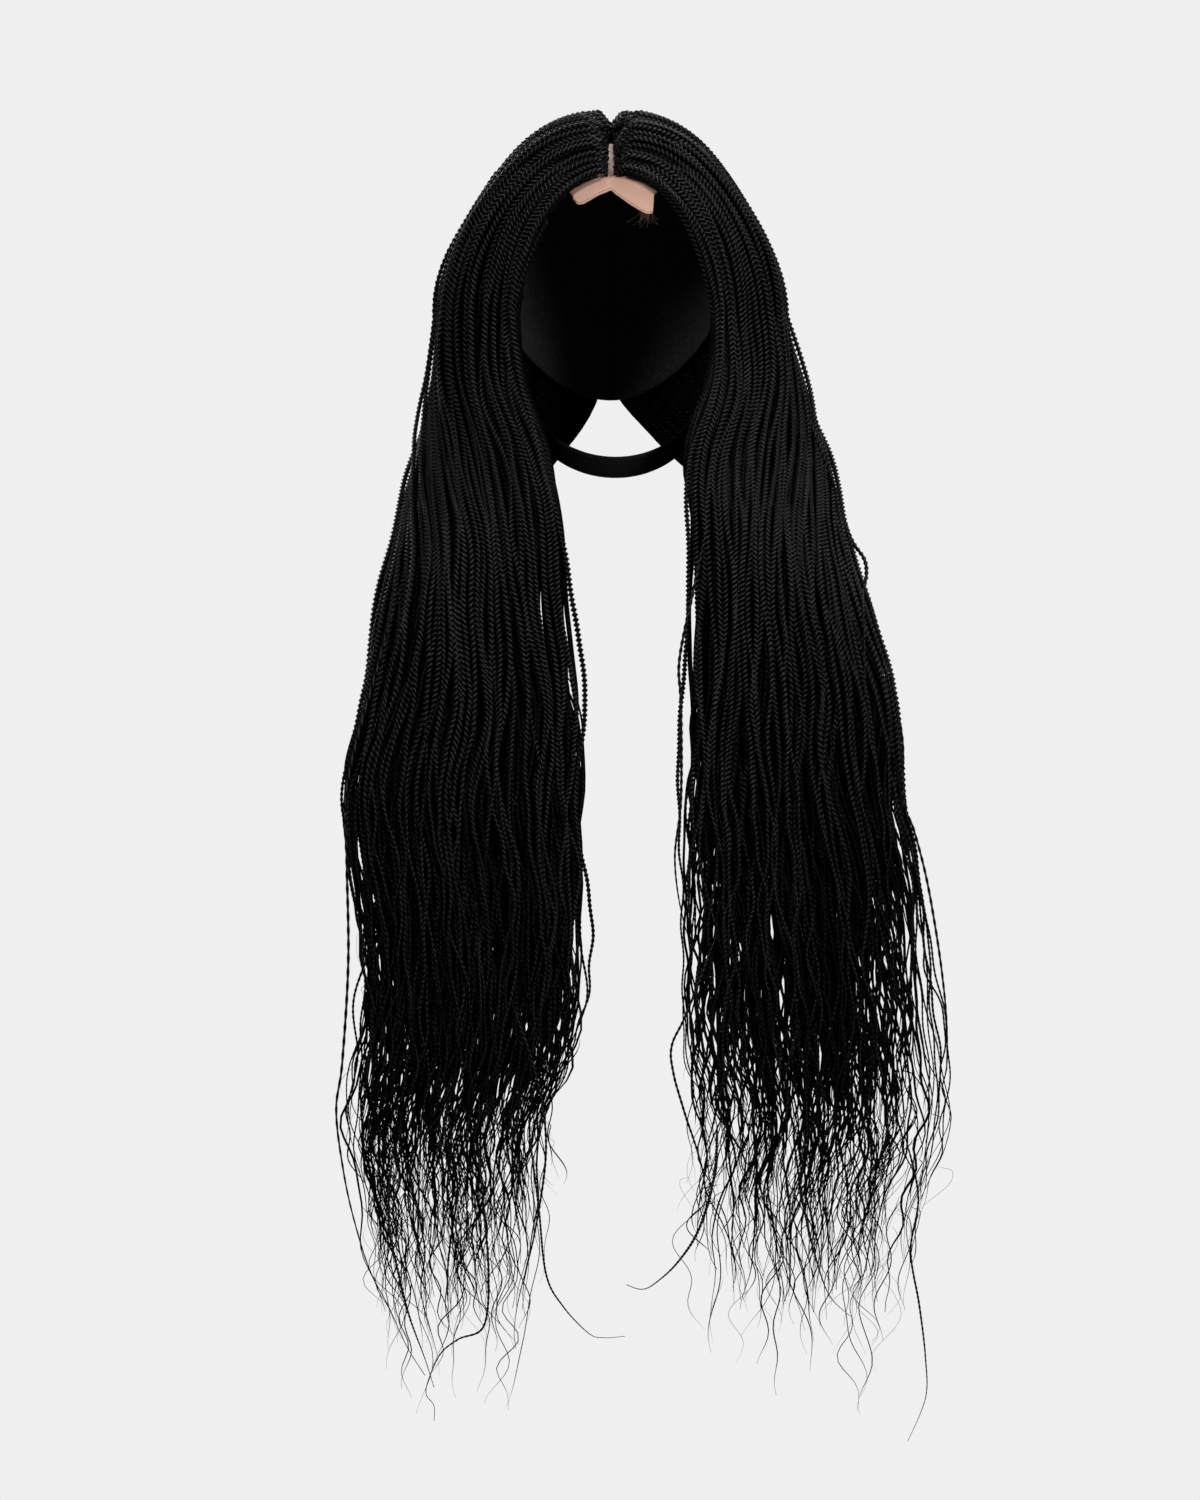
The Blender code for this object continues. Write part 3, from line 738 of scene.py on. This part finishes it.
def sharpen_creases(mesh, sides):
    """Marks the edges that run along the creases between the two strands of each twist."""
    ends = np.empty(len(mesh.edges) * 2, np.int32)
    mesh.edges.foreach_get("vertices", ends)
    ends = ends.reshape(-1, 2)
    spots = ends % sides
    creases = (spots[:, 0] == spots[:, 1]) & (spots[:, 0] % 2 == 1)
    flags = mesh.attributes.new("sharp_edge", "BOOLEAN", "EDGE")
    flags.data.foreach_set("value", creases)


def tip_taper(rings, share, width):
    """1 down a strand, falling to width over the last share of it."""
    place = np.linspace(0.0, 1.0, rings)
    return mix(1.0, width, smooth((place - 1 + share) / share))


def crease_size(size):
    """Half width at the creases. Thin twists are rounder than thick ones."""
    return size * mix(THIN_CREASE, CREASE, size)


def side_name(side):
    return "left" if side < 0 else "right"


def outer_twists(random, side, low, high, count, name, finish):
    """One layer of true two-strand twists over the outside of the hair."""
    around = low + (np.arange(count) + 0.5) / count * (high - low)
    uneven = random.uniform(-UNEVEN_SPACING, UNEVEN_SPACING, count)
    around = around + uneven / count * (high - low)
    upper = (np.arange(count) % 2 == 0)[:, None]
    start = random.uniform(0.0, OUTER_LAST_START, count)
    stop = np.clip(random.normal(*OUTER_STOP, count), *OUTER_STOP_RANGE)
    layer = random.uniform(OUTER_LEVEL, 1.0, (count, 1))
    rises_at = random.uniform(*RISES_AT, (count, 1))
    rooted = parting_openness(around)[:, None]
    looseness = LOOSE_LIFT * (random.random((count, 1)) < LOOSE_SHARE)

    def depth(along):
        risen = smooth((along - rises_at) / RISE_LENGTH)
        root = 1 - rooted * (1 - smooth(along / ROOT_ALONG))
        level = np.where(upper, layer, mix(UNDER_LEVEL, 1.0, risen) * layer) * root
        return level + looseness * ramp_between(along, LOOSE_ALONG)

    points, along, lengths = strand_paths(
        random, side, around, depth, (start, stop), PATH_SAMPLES, TWIST_RINGS, inside=False
    )
    size = np.interp(along, WIDTH_ALONG, WIDTH_SHARE) ** random.uniform(*WIDTH_POWER, (count, 1))
    size = size * random.uniform(*WIDTH_SPREAD, (count, 1)) * sparse_width(side, around, along)
    size = size * tip_taper(TWIST_RINGS, TIP_LENGTH_SHARE, TIP_WIDTH)
    hands = np.where(random.random(count) < SAME_HAND_SHARE, side, -side)
    phases = random.uniform(0.0, math.pi, count)
    return tubes(name, points, CREST * size, crease_size(size), lengths, finish, hands, phases)


def inner_twists(random, side, name, finish):
    """The layers under the outer one, as plain tubes whose twist is in their material."""
    parts = []
    for count, low, high, level, first, stop_low, stop_high, radius in INNER_LAYERS:
        place = (np.arange(count) + random.uniform(*INNER_SPREAD, count)) / count
        around = mix(low, high, place)
        start = first + random.uniform(0.0, INNER_LAST_START, count)
        stop = sparse_stop(random, side, around, random.uniform(stop_low, stop_high, count))
        layer = level + random.uniform(-INNER_LEVEL_SPREAD, INNER_LEVEL_SPREAD, (count, 1))
        layer = np.clip(layer, *INNER_LEVELS)
        points, along, lengths = strand_paths(
            random, side, around, lambda along: layer + 0 * along, (start, stop),
            PATH_SAMPLES // 2, INNER_RINGS
        )
        size = radius * np.interp(along, WIDTH_ALONG, WIDTH_SHARE)
        size = size * sparse_width(side, around, along)
        size = size * tip_taper(INNER_RINGS, TIP_LENGTH_SHARE, TIP_WIDTH)
        parts.append((points, size, lengths))
    points, size, lengths = (np.concatenate(each) for each in zip(*parts))
    return tubes(name, points, size, size, lengths, finish, sides=3)


def spread_strands(random, side, start, stop, rings, radius, unruly, name, finish):
    """Thin three-sided strands at random places, each with its root inside the hair."""
    count = len(start)
    around = (np.arange(count) + random.uniform(0.0, 1.0, count)) / count
    level = random.uniform(SPREAD_LEVEL, 1.0, (count, 1))

    def depth(along):
        root_length = SPREAD_ROOT_SHARE * np.ptp(along, axis=1)[:, None]
        emerged = smooth((along - along[:, :1]) / root_length)
        return mix(np.minimum(level, SPREAD_ROOT_DEPTH), level, emerged)

    stop = np.maximum(sparse_stop(random, side, around, stop), start + SPREAD_LEAST_LENGTH)
    points, along, lengths = strand_paths(
        random, side, around, depth, (start, stop), rings * 2, rings, unruly
    )
    size = radius[:, None] * tip_taper(rings, SPREAD_TIP_SHARE, TIP_WIDTH)
    size = size * tip_taper(rings, SPREAD_ROOT_SHARE, TIP_WIDTH)[::-1]
    return tubes(name, points, size, size, lengths, finish, sides=3)


def fill_twists(random, side, name, finish):
    start = random.uniform(*FILL_START, FILL_COUNT)
    stop = random.uniform(*FILL_STOP, FILL_COUNT)
    radius = FILL_RADIUS * random.uniform(*FILL_RADIUS_SPREAD, FILL_COUNT)
    return spread_strands(random, side, start, stop, FILL_RINGS, radius, 1.0, name, finish)


def loose_ends(random, side, finish):
    """The wisps and the fuzz, as one piece each."""
    pieces = []
    for name, count, first, length, radius, rings, unruly in LOOSE_ENDS:
        start = random.uniform(*first, count)
        stop = np.minimum(start + random.uniform(*length, count), LAST_ALONG)
        size = random.uniform(*radius, count)
        pieces.append(spread_strands(random, side, start, stop, rings, size, unruly,
                                     f"{name}_{side_name(side)}", finish))
    return pieces


def smooth_route(route, samples):
    """Points on a smooth curve through a route's own points."""
    return curve_through(np.array(route, float), np.linspace(0.0, len(route) - 1, samples))


def surface_depth(side, sideways, height):
    """How far forward or back the hanging hair's surface lies at places seen from ahead."""
    along = 1 + np.interp(-height, -SECTIONS[:, 0], np.arange(len(SECTIONS)))
    section = section_at(along)
    edge, far = mass_edges(side, section)
    front, back = section[5:7]
    place = np.clip((sideways - (edge + far) / 2) / ((far - edge) / 2), -1.0, 1.0)
    bulge = np.where(place > 0, np.sqrt(1 - place**2), 1.0)
    return (front + back) / 2 - (back - front) / 2 * bulge - STRAY_LIFT


def stray_twists(side, name, finish):
    """The twists that hang apart, each on its own route over the front of the hair."""
    chosen = [stray for stray in STRAYS if stray[0].startswith(side_name(side))]
    flat = np.array([smooth_route(route, PATH_SAMPLES) for _, _, route in chosen]) / MM_PER_M
    widths = np.array([width for _, width, _ in chosen])
    sink = 1 - ramp_between(np.linspace(0.0, 1.0, PATH_SAMPLES), (0.0, STRAY_ROOT_SHARE))
    level = surface_depth(side, flat[..., 0], flat[..., 1]) + STRAY_ROOT_SINK * sink
    points = np.stack((flat[..., 0], level, flat[..., 1]), -1)
    points, _, lengths = resampled(points, np.zeros(points.shape[:2]), STRAY_RINGS)
    size = widths[:, None] * tip_taper(STRAY_RINGS, STRAY_TIP_SHARE, TIP_WIDTH)
    size = size * tip_taper(STRAY_RINGS, STRAY_ROOT_SHARE, STRAY_ROOT_WIDTH)[::-1]
    hands = np.full(len(chosen), float(side))
    return tubes(name, points, CREST * size, crease_size(size), lengths, finish, hands)


def closed_sheet(name, inner, outer, finish, left_out=None):
    """A closed sheet between two grids of points, without a block of patches left out."""
    rows, columns = inner.shape[:2]
    count = rows * columns
    number = np.arange(count).reshape(rows, columns)
    corners = (number[:-1, :-1], number[:-1, 1:], number[1:, 1:], number[1:, :-1])
    kept = np.ones((rows - 1, columns - 1), bool)
    if left_out:
        kept[left_out] = False
    below = np.stack(corners, -1)[kept]
    edges = np.stack((below, np.roll(below, -1, axis=1)), -1).reshape(-1, 2)
    pairs = np.sort(edges, axis=1)
    _, first, uses = np.unique(pairs[:, 0] * count + pairs[:, 1], return_index=True,
                               return_counts=True)
    rim = edges[first[uses == 1]]
    walls = np.stack((rim[:, 0], rim[:, 1], rim[:, 1] + count, rim[:, 0] + count), -1)
    patches = np.concatenate((below[:, ::-1], below + count, walls))
    faces = np.concatenate((patches[:, (0, 1, 2)], patches[:, (0, 2, 3)]))
    used, faces = np.unique(faces, return_inverse=True)
    faces = faces.reshape(-1, 3)
    points = np.concatenate((inner.reshape(-1, 3), outer.reshape(-1, 3)))[used]
    a, b, c = (points[faces[:, corner]] for corner in range(3))
    if (np.cross(a, b) * c).sum() < 0:
        faces = faces[:, ::-1]
    return mesh_object(name, points, faces, finish)


def over_head(side, around, along, lift):
    """Points over the head for grids of values, with the side given for each of them."""
    left = head_point(head_direction(-1, around, along), lift)
    right = head_point(head_direction(1, around, along), lift)
    return np.where((side < 0)[..., None], left, right)


def head_sheet(name, side, around, along, lifts, finish, left_out=None):
    """A closed sheet over the head between two lifts."""
    side, around, along = np.broadcast_arrays(side, around, along)
    inner, outer = (over_head(side, around, along, lift) for lift in lifts)
    return closed_sheet(name, inner, outer, finish, left_out)


def flap_edge(across):
    """Where the trimmed lace ends, on a smooth curve through the points of its edge."""
    spread, edge = np.array(FLAP_EDGE).T
    total = np.zeros_like(across)
    for shift in FLAP_SHIFTS:
        total += np.interp(across + shift, spread, edge) / len(FLAP_SHIFTS)
    return total


def build_lace(finish):
    """The lace panel under the parting, with its trimmed flap in front."""
    across = np.linspace(-1.0, 1.0, LACE_GRID[0])[:, None]
    share = np.linspace(0.0, 1.0, LACE_GRID[1])[None, :]
    around = mix(flap_edge(across), LACE_AROUND, share)
    lifts = (LACE_LIFT, LACE_LIFT + LACE_WALL)
    return head_sheet("lace_panel", across, around, np.abs(across) * LACE_ALONG, lifts, finish)


def build_lace_threads(finish):
    """The stitched double line along the trimmed edge, and the frayed threads."""
    random = np.random.default_rng(THREAD_SEED)
    across = np.linspace(*THREAD_ACROSS, THREAD_POINTS)
    share = np.linspace(0.0, 1.0, THREAD_POINTS)
    along = np.abs(across) * LACE_ALONG
    lift = LACE_LIFT + LACE_WALL
    paths, sizes = [], []
    for inside, radius in EDGE_THREADS:
        paths.append(over_head(across, flap_edge(across) + inside, along, lift))
        sizes.append(np.full(across.shape, radius))
    for _ in range(FRAYED_COUNT):
        place = np.full(across.shape, random.uniform(*FRAYED_ACROSS))
        around = flap_edge(place) + FRAYED_AROUND * random.random()
        reach = random.uniform(*FRAYED_LENGTH) * share
        lean = random.uniform(*FRAYED_LEAN) + random.uniform(-1.0, 1.0) * share
        offset = np.stack((reach * lean, -FRAYED_FORWARD * reach * share, -reach), -1)
        paths.append(over_head(place, around, place * LACE_ALONG, lift) + offset)
        sizes.append(mix(*FRAYED_RADIUS, share))
    sizes = np.array(sizes)
    points, _, lengths = resampled(np.array(paths), np.zeros(sizes.shape), THREAD_POINTS)
    return tubes("lace_threads", points, sizes, sizes, lengths, finish, sides=3)


def cap_rim(around):
    """How far along the cap's lower edge lies: it rises over the ear and drops at the nape."""
    ear = mix(RIM_TEMPLE, RIM_EAR, smooth(around / RIM_EAR_AROUND))
    nape = mix(RIM_EAR, RIM_NAPE, ramp_between(around, (RIM_EAR_AROUND, 1.0)))
    return np.where(around < RIM_EAR_AROUND, ear, nape)


def joined_spans(stops, counts):
    """Places from the first stop to the last, with each span between them cut evenly."""
    spans = zip(stops, stops[1:], counts)
    return np.concatenate([stops[:1]] + [np.linspace(low, high, count + 1)[1:]
                                         for low, high, count in spans])


def build_cap(finish):
    """The stretch net cap, with its notch for the lace in front."""
    hole_along = LACE_ALONG + LACE_GAP
    around = joined_spans((CAP_FRONT_AROUND, LACE_AROUND + LACE_GAP, 1.0), CAP_ROWS)[:, None]
    reach = joined_spans((0.0, 1.0, 2.0), CAP_COLUMNS)
    share = np.concatenate((-reach[:0:-1], reach))[None, :]
    reach = np.abs(share)
    beyond = mix(hole_along, cap_rim(around), np.maximum(0.0, reach - 1))
    along = np.where(reach <= 1, hole_along * reach, beyond)
    notch_rows, (notch_columns, outer_columns) = CAP_ROWS[0], CAP_COLUMNS
    notch = (slice(notch_rows), slice(outer_columns, outer_columns + 2 * notch_columns))
    return head_sheet("net_cap", share, around, along, (0.0, CAP_WALL), finish, notch)


def build_strap(finish):
    """The flat elastic band, with a stitched groove along each edge."""
    route = np.concatenate((STRAP_ROUTE[::-1] * (-1, 1, 1), STRAP_ROUTE[1:]))
    centres = smooth_route(route, STRAP_RINGS)
    top, low = STRAP_ROUTE[-1, 2], STRAP_ROUTE[0, 2]
    centres[:, 0] += STRAP_SHIFT * (top - centres[:, 2]) / (top - low)
    ahead = unit(np.gradient(centres, axis=0))
    outward = (centres + (0.0, 0.0, HEAD_RISE)) / HEAD_AXES**2 * (1, 1, STRAP_FORWARD)
    across = unit(np.cross(ahead, outward))
    outward = np.cross(across, ahead)
    mirror = (-1, 1)
    profile = np.concatenate((STRAP_TOP[:0:-1] * mirror, STRAP_TOP,
                              STRAP_BOTTOM, STRAP_BOTTOM[-2::-1] * mirror))
    wide = profile[:, 0] * STRAP_WIDTH / 2
    high = (profile[:, 1] - 0.5) * STRAP_WALL
    points = centres[:, None] + across[:, None] * wide[:, None] + outward[:, None] * high[:, None]
    sides = len(profile)
    faces = tube_faces(1, STRAP_RINGS, sides, [1])
    band = mesh_object("elastic_band", points.reshape(-1, 3), faces, finish)
    length = np.linalg.norm(np.diff(centres, axis=0), axis=1).sum()
    strand_maps(band, faces, 1, STRAP_RINGS, sides, np.array([length]))
    return band


def shader_material(name):
    made = bpy.data.materials.new(name)
    made.use_nodes = True
    return made, made.node_tree, made.node_tree.nodes["Principled BSDF"]


def add_node(tree, kind, **values):
    node = tree.nodes.new(kind)
    for key, value in values.items():
        setattr(node, key, value)
    return node


def linked(tree, node, inputs):
    """Sets or links a node's inputs, given by their number or name."""
    for key, value in inputs.items():
        if isinstance(value, bpy.types.NodeSocket):
            tree.links.new(value, node.inputs[key])
        else:
            node.inputs[key].default_value = value
    return node


def math_node(tree, operation, *values):
    node = add_node(tree, "ShaderNodeMath", operation=operation)
    return linked(tree, node, dict(enumerate(values))).outputs[0]


def split_node(tree, place):
    return linked(tree, add_node(tree, "ShaderNodeSeparateXYZ"), {0: place}).outputs


def strand_place(tree):
    """The turn round a strand and the number of bumps from its root."""
    place = add_node(tree, "ShaderNodeUVMap", uv_map="strand").outputs[0]
    turn, reach, _ = split_node(tree, place)
    return turn, reach


def object_place(tree):
    return add_node(tree, "ShaderNodeTexCoord").outputs["Object"]


def noise_node(tree, scale, detail, place=None):
    noise = linked(tree, add_node(tree, "ShaderNodeTexNoise"), {"Scale": scale, "Detail": detail})
    if place:
        linked(tree, noise, {"Vector": place})
    return noise.outputs[0]


def cells_node(tree, scale, place):
    cells = add_node(tree, "ShaderNodeTexVoronoi", feature="DISTANCE_TO_EDGE")
    return linked(tree, cells, {"Vector": place, "Scale": scale}).outputs[0]


def bump_node(tree, height, distance=1.0, strength=1.0, invert=False):
    bump = add_node(tree, "ShaderNodeBump", invert=invert)
    values = {"Height": height, "Distance": distance, "Strength": strength}
    return linked(tree, bump, values).outputs[0]


def range_node(tree, value, ends, results):
    """The value's place between two ends, as a value between two results."""
    return linked(tree, add_node(tree, "ShaderNodeMapRange"), {
        "Value": value, "From Min": ends[0], "From Max": ends[1],
        "To Min": results[0], "To Max": results[1]}).outputs[0]


def ramp_node(tree, value, stops):
    """The colour at a value, from two pairs of value and colour."""
    ramp = add_node(tree, "ShaderNodeValToRGB")
    for element, (position, colour) in zip(ramp.color_ramp.elements, stops):
        element.position = position
        element.color = (*colour, 1.0)
    return linked(tree, ramp, {0: value}).outputs[0]


def hair_material(name, plain_tube):
    """Near-black satin fibre, with painted highlights along the crests of each twist and painted
    shade towards its creases.

    A twisted tube has its creases at a quarter and three quarters of the turn round it. On
    a plain tube the crests wind round it, and bump gives them their height.
    """
    made, tree, shader = shader_material(name)
    turn, reach = strand_place(tree)
    leaning = math_node(tree, "MULTIPLY_ADD", reach, PLAIN_LEAN, turn) if plain_tube else turn
    wave = math_node(tree, "COSINE", math_node(tree, "MULTIPLY", leaning, 2 * math.pi))
    crest = math_node(tree, "ABSOLUTE", wave)
    filament_place = linked(tree, add_node(tree, "ShaderNodeCombineXYZ"), {
        0: math_node(tree, "MULTIPLY", leaning, FILAMENTS_ROUND),
        1: math_node(tree, "MULTIPLY", reach, FILAMENTS_ALONG)})
    filaments = noise_node(tree, 1.0, 2.0, filament_place.outputs[0])
    height = math_node(tree, "MULTIPLY", filaments, FILAMENT_HEIGHT)
    if plain_tube:
        height = math_node(tree, "MULTIPLY_ADD", crest, PLAIN_TWIST_HEIGHT, height)
    mottled = math_node(tree, "MULTIPLY_ADD", filaments, *HIGHLIGHT_MOTTLE)
    tint = math_node(tree, "ADD", mottled, noise_node(tree, TINT_SCALE, 3.0))
    # Painted light: only the crests are painted pale, as highlights, and the rest near-black, as
    # painted shade
    painted_light = math_node(tree, "MULTIPLY", math_node(tree, "POWER", crest, CREST_SHARPNESS), tint)
    if not plain_tube:
        # On a twisted tube the painted highlights fade further from the root
        highlight_fading = range_node(tree, reach, HIGHLIGHT_FADE_BUMPS, (1.0, HIGHLIGHT_FADE_SHARE))
        painted_light = math_node(tree, "MULTIPLY", painted_light, highlight_fading)
    linked(tree, shader, {
        "Base Color": ramp_node(tree, painted_light, INNER_HIGHLIGHT_RAMP if plain_tube else TWIST_HIGHLIGHT_RAMP),
        "Roughness": range_node(tree, crest, (0.0, 1.0), HAIR_ROUGHNESS),
        "Normal": bump_node(tree, height), "Specular IOR Level": HAIR_SPECULAR})
    return made


def thread_material():
    """Brown thread of the lace's trimmed edge."""
    made, tree, shader = shader_material("lace_thread")
    colour = ramp_node(tree, noise_node(tree, THREAD_MOTTLE, 2.0), THREAD_RAMP)
    linked(tree, shader, {"Base Color": colour, "Roughness": 0.7})
    return made


def lace_material():
    """Fine beige net, painted paler along the parting as painted light."""
    made, tree, shader = shader_material("lace_net")
    place = object_place(tree)
    sideways, _, height = split_node(tree, place)
    blotches = ramp_node(tree, noise_node(tree, LACE_BLOTCHES, 3.0, place), LACE_RAMP)
    # Painted light: the strip along the parting is painted paler, over the shade between the mounds
    parting = range_node(tree, math_node(tree, "ABSOLUTE", sideways), STRIP_EDGE, (1.0, 0.0))
    above = range_node(tree, height, STRIP_HEIGHTS, (0.0, 1.0))
    colour = linked(tree, add_node(tree, "ShaderNodeMix", data_type="RGBA"), {
        0: math_node(tree, "MULTIPLY", parting, above), 6: blotches, 7: STRIP_PAINTED_LIGHT_COLOUR})
    bump = bump_node(tree, cells_node(tree, LACE_CELLS, place), LACE_CELL_HEIGHT, 0.6)
    linked(tree, shader, {"Base Color": colour.outputs[2], "Roughness": 0.7, "Normal": bump})
    return made


def elastic_material():
    """Flat black satin elastic with fine ribs along its length."""
    made, tree, shader = shader_material("satin_elastic")
    turn, reach = strand_place(tree)
    ribs = math_node(tree, "SINE", math_node(tree, "MULTIPLY", turn, RIB_RATE))
    weave = math_node(tree, "SINE", math_node(tree, "MULTIPLY", reach, WEAVE_RATE))
    height = math_node(tree, "MULTIPLY", math_node(tree, "ADD", ribs, weave), RIB_HEIGHT)
    linked(tree, shader, {
        "Base Color": ramp_node(tree, weave, ELASTIC_RAMP), "Roughness": 0.42,
        "Normal": bump_node(tree, height, 1.0, 0.6), "Specular IOR Level": 0.20})
    return made


def net_material():
    """Black stretch net of the cap."""
    made, tree, shader = shader_material("cap_stretch_net")
    cells = cells_node(tree, NET_CELLS, object_place(tree))
    linked(tree, shader, {
        "Base Color": ramp_node(tree, cells, NET_RAMP), "Roughness": 0.8,
        "Normal": bump_node(tree, cells, NET_CELL_HEIGHT, 0.8, invert=True)})
    return made


def build_hair():
    outer = hair_material("twist_fibre", False)
    inner = hair_material("inner_twist_fibre", True)
    for side in (-1, 1):
        random = np.random.default_rng(HAIR_SEED + side)
        name = side_name(side)
        front = outer_twists(random, side, 0.0, FRONT_SHARE, FRONT_TWISTS,
                             f"front_twists_{name}", outer)
        back = outer_twists(random, side, FRONT_SHARE, 1.0, BACK_TWISTS,
                            f"back_twists_{name}", outer)
        others = (
            inner_twists(random, side, f"inner_twists_{name}", inner),
            fill_twists(random, side, f"fill_twists_{name}", inner),
            *loose_ends(random, side, inner),
            stray_twists(side, f"stray_twists_{name}", outer),
        )
        for piece in (front, back, *others):
            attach(piece, BODY)
        tufts = [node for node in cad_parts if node.startswith("ends_") and name in node]
        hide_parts(*(f"{node}_{name}" for node in FRONT_NODES))
        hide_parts(*(node for node in tufts if "front" in node))
        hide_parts(*(f"{node}_{name}" for node in BACK_NODES))
        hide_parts(*(node for node in tufts if "back" in node))


def build_base():
    """The cap, the lace and the strap, in place of their CAD solids."""
    lace = build_lace(lace_material())
    pieces = (
        (build_cap(net_material()), "wig_cap", "cap_net"),
        (lace, "lace_closure", "lace"),
        (build_lace_threads(thread_material()), None, "lace"),
        (build_strap(elastic_material()), "chin_strap", "elastic"),
    )
    for piece, node, slot in pieces:
        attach(piece, BODY)
        if node:
            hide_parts(node)


def area_light(name, spot, target, size, power):
    light = bpy.data.lights.new(name, "AREA")
    light.shape = "RECTANGLE"
    light.size, light.size_y = size
    light.energy = power
    thing = add_object(name, light)
    thing.location = spot
    thing.rotation_euler = (Vector(target) - Vector(spot)).to_track_quat("-Z", "Y").to_euler()


def camera_ray(tree):
    return add_node(tree, "ShaderNodeLightPath").outputs["Is Camera Ray"]


def build_backdrop():
    """Surroundings that the camera sees brightly and that light the hair only a little."""
    world = bpy.data.worlds.new("studio")
    bpy.context.scene.world = world
    world.use_nodes = True
    tree = world.node_tree
    seen = tree.nodes["Background"]
    lighting = add_node(tree, "ShaderNodeBackground")
    for background, strength in ((seen, BACKDROP_GLOW), (lighting, BACKDROP_LIGHT)):
        linked(tree, background, {0: BACKDROP_COLOUR, 1: strength})
    either = linked(tree, add_node(tree, "ShaderNodeMixShader"), {
        0: camera_ray(tree), 1: lighting.outputs[0], 2: seen.outputs[0]})
    tree.links.new(either.outputs[0], tree.nodes["World Output"].inputs[0])


def build_floor():
    """A pale round floor well below the hair."""
    turns = np.linspace(0.0, 2 * math.pi, FLOOR_SIDES, endpoint=False)
    rim = [(FLOOR_RADIUS * math.cos(t), FLOOR_RADIUS * math.sin(t), FLOOR_HEIGHT) for t in turns]
    mesh = bpy.data.meshes.new("floor")
    mesh.from_pydata(rim, [], [list(range(len(rim)))])
    finish, tree, shader = shader_material("pale_floor")
    glow = math_node(tree, "MULTIPLY", camera_ray(tree), FLOOR_GLOW)
    colour = ramp_node(tree, noise_node(tree, FLOOR_MOTTLE, 2.0), FLOOR_RAMP)
    linked(tree, shader, {"Base Color": colour, "Roughness": 0.9,
                          "Emission Color": WHITE, "Emission Strength": glow})
    mesh.materials.append(finish)
    add_object("floor", mesh)


def build_studio():
    build_backdrop()
    for light in LIGHTS:
        area_light(*light)
    build_floor()
    bpy.context.scene.view_settings.view_transform = "Standard"


def build_camera():
    data = bpy.data.cameras.new("photo_view")
    data.sensor_width = SENSOR
    data.lens = SENSOR * FRAME_DISTANCE / FRAME_HEIGHT
    data.clip_start, data.clip_end = CAMERA_CLIP
    camera = add_object("photo_view", data)
    camera.location = CAMERA_SPOT
    camera.rotation_euler = (math.radians(90), 0.0, 0.0)
    bpy.context.scene.camera = camera


build_camera()
build_studio()
build_base()
build_hair()
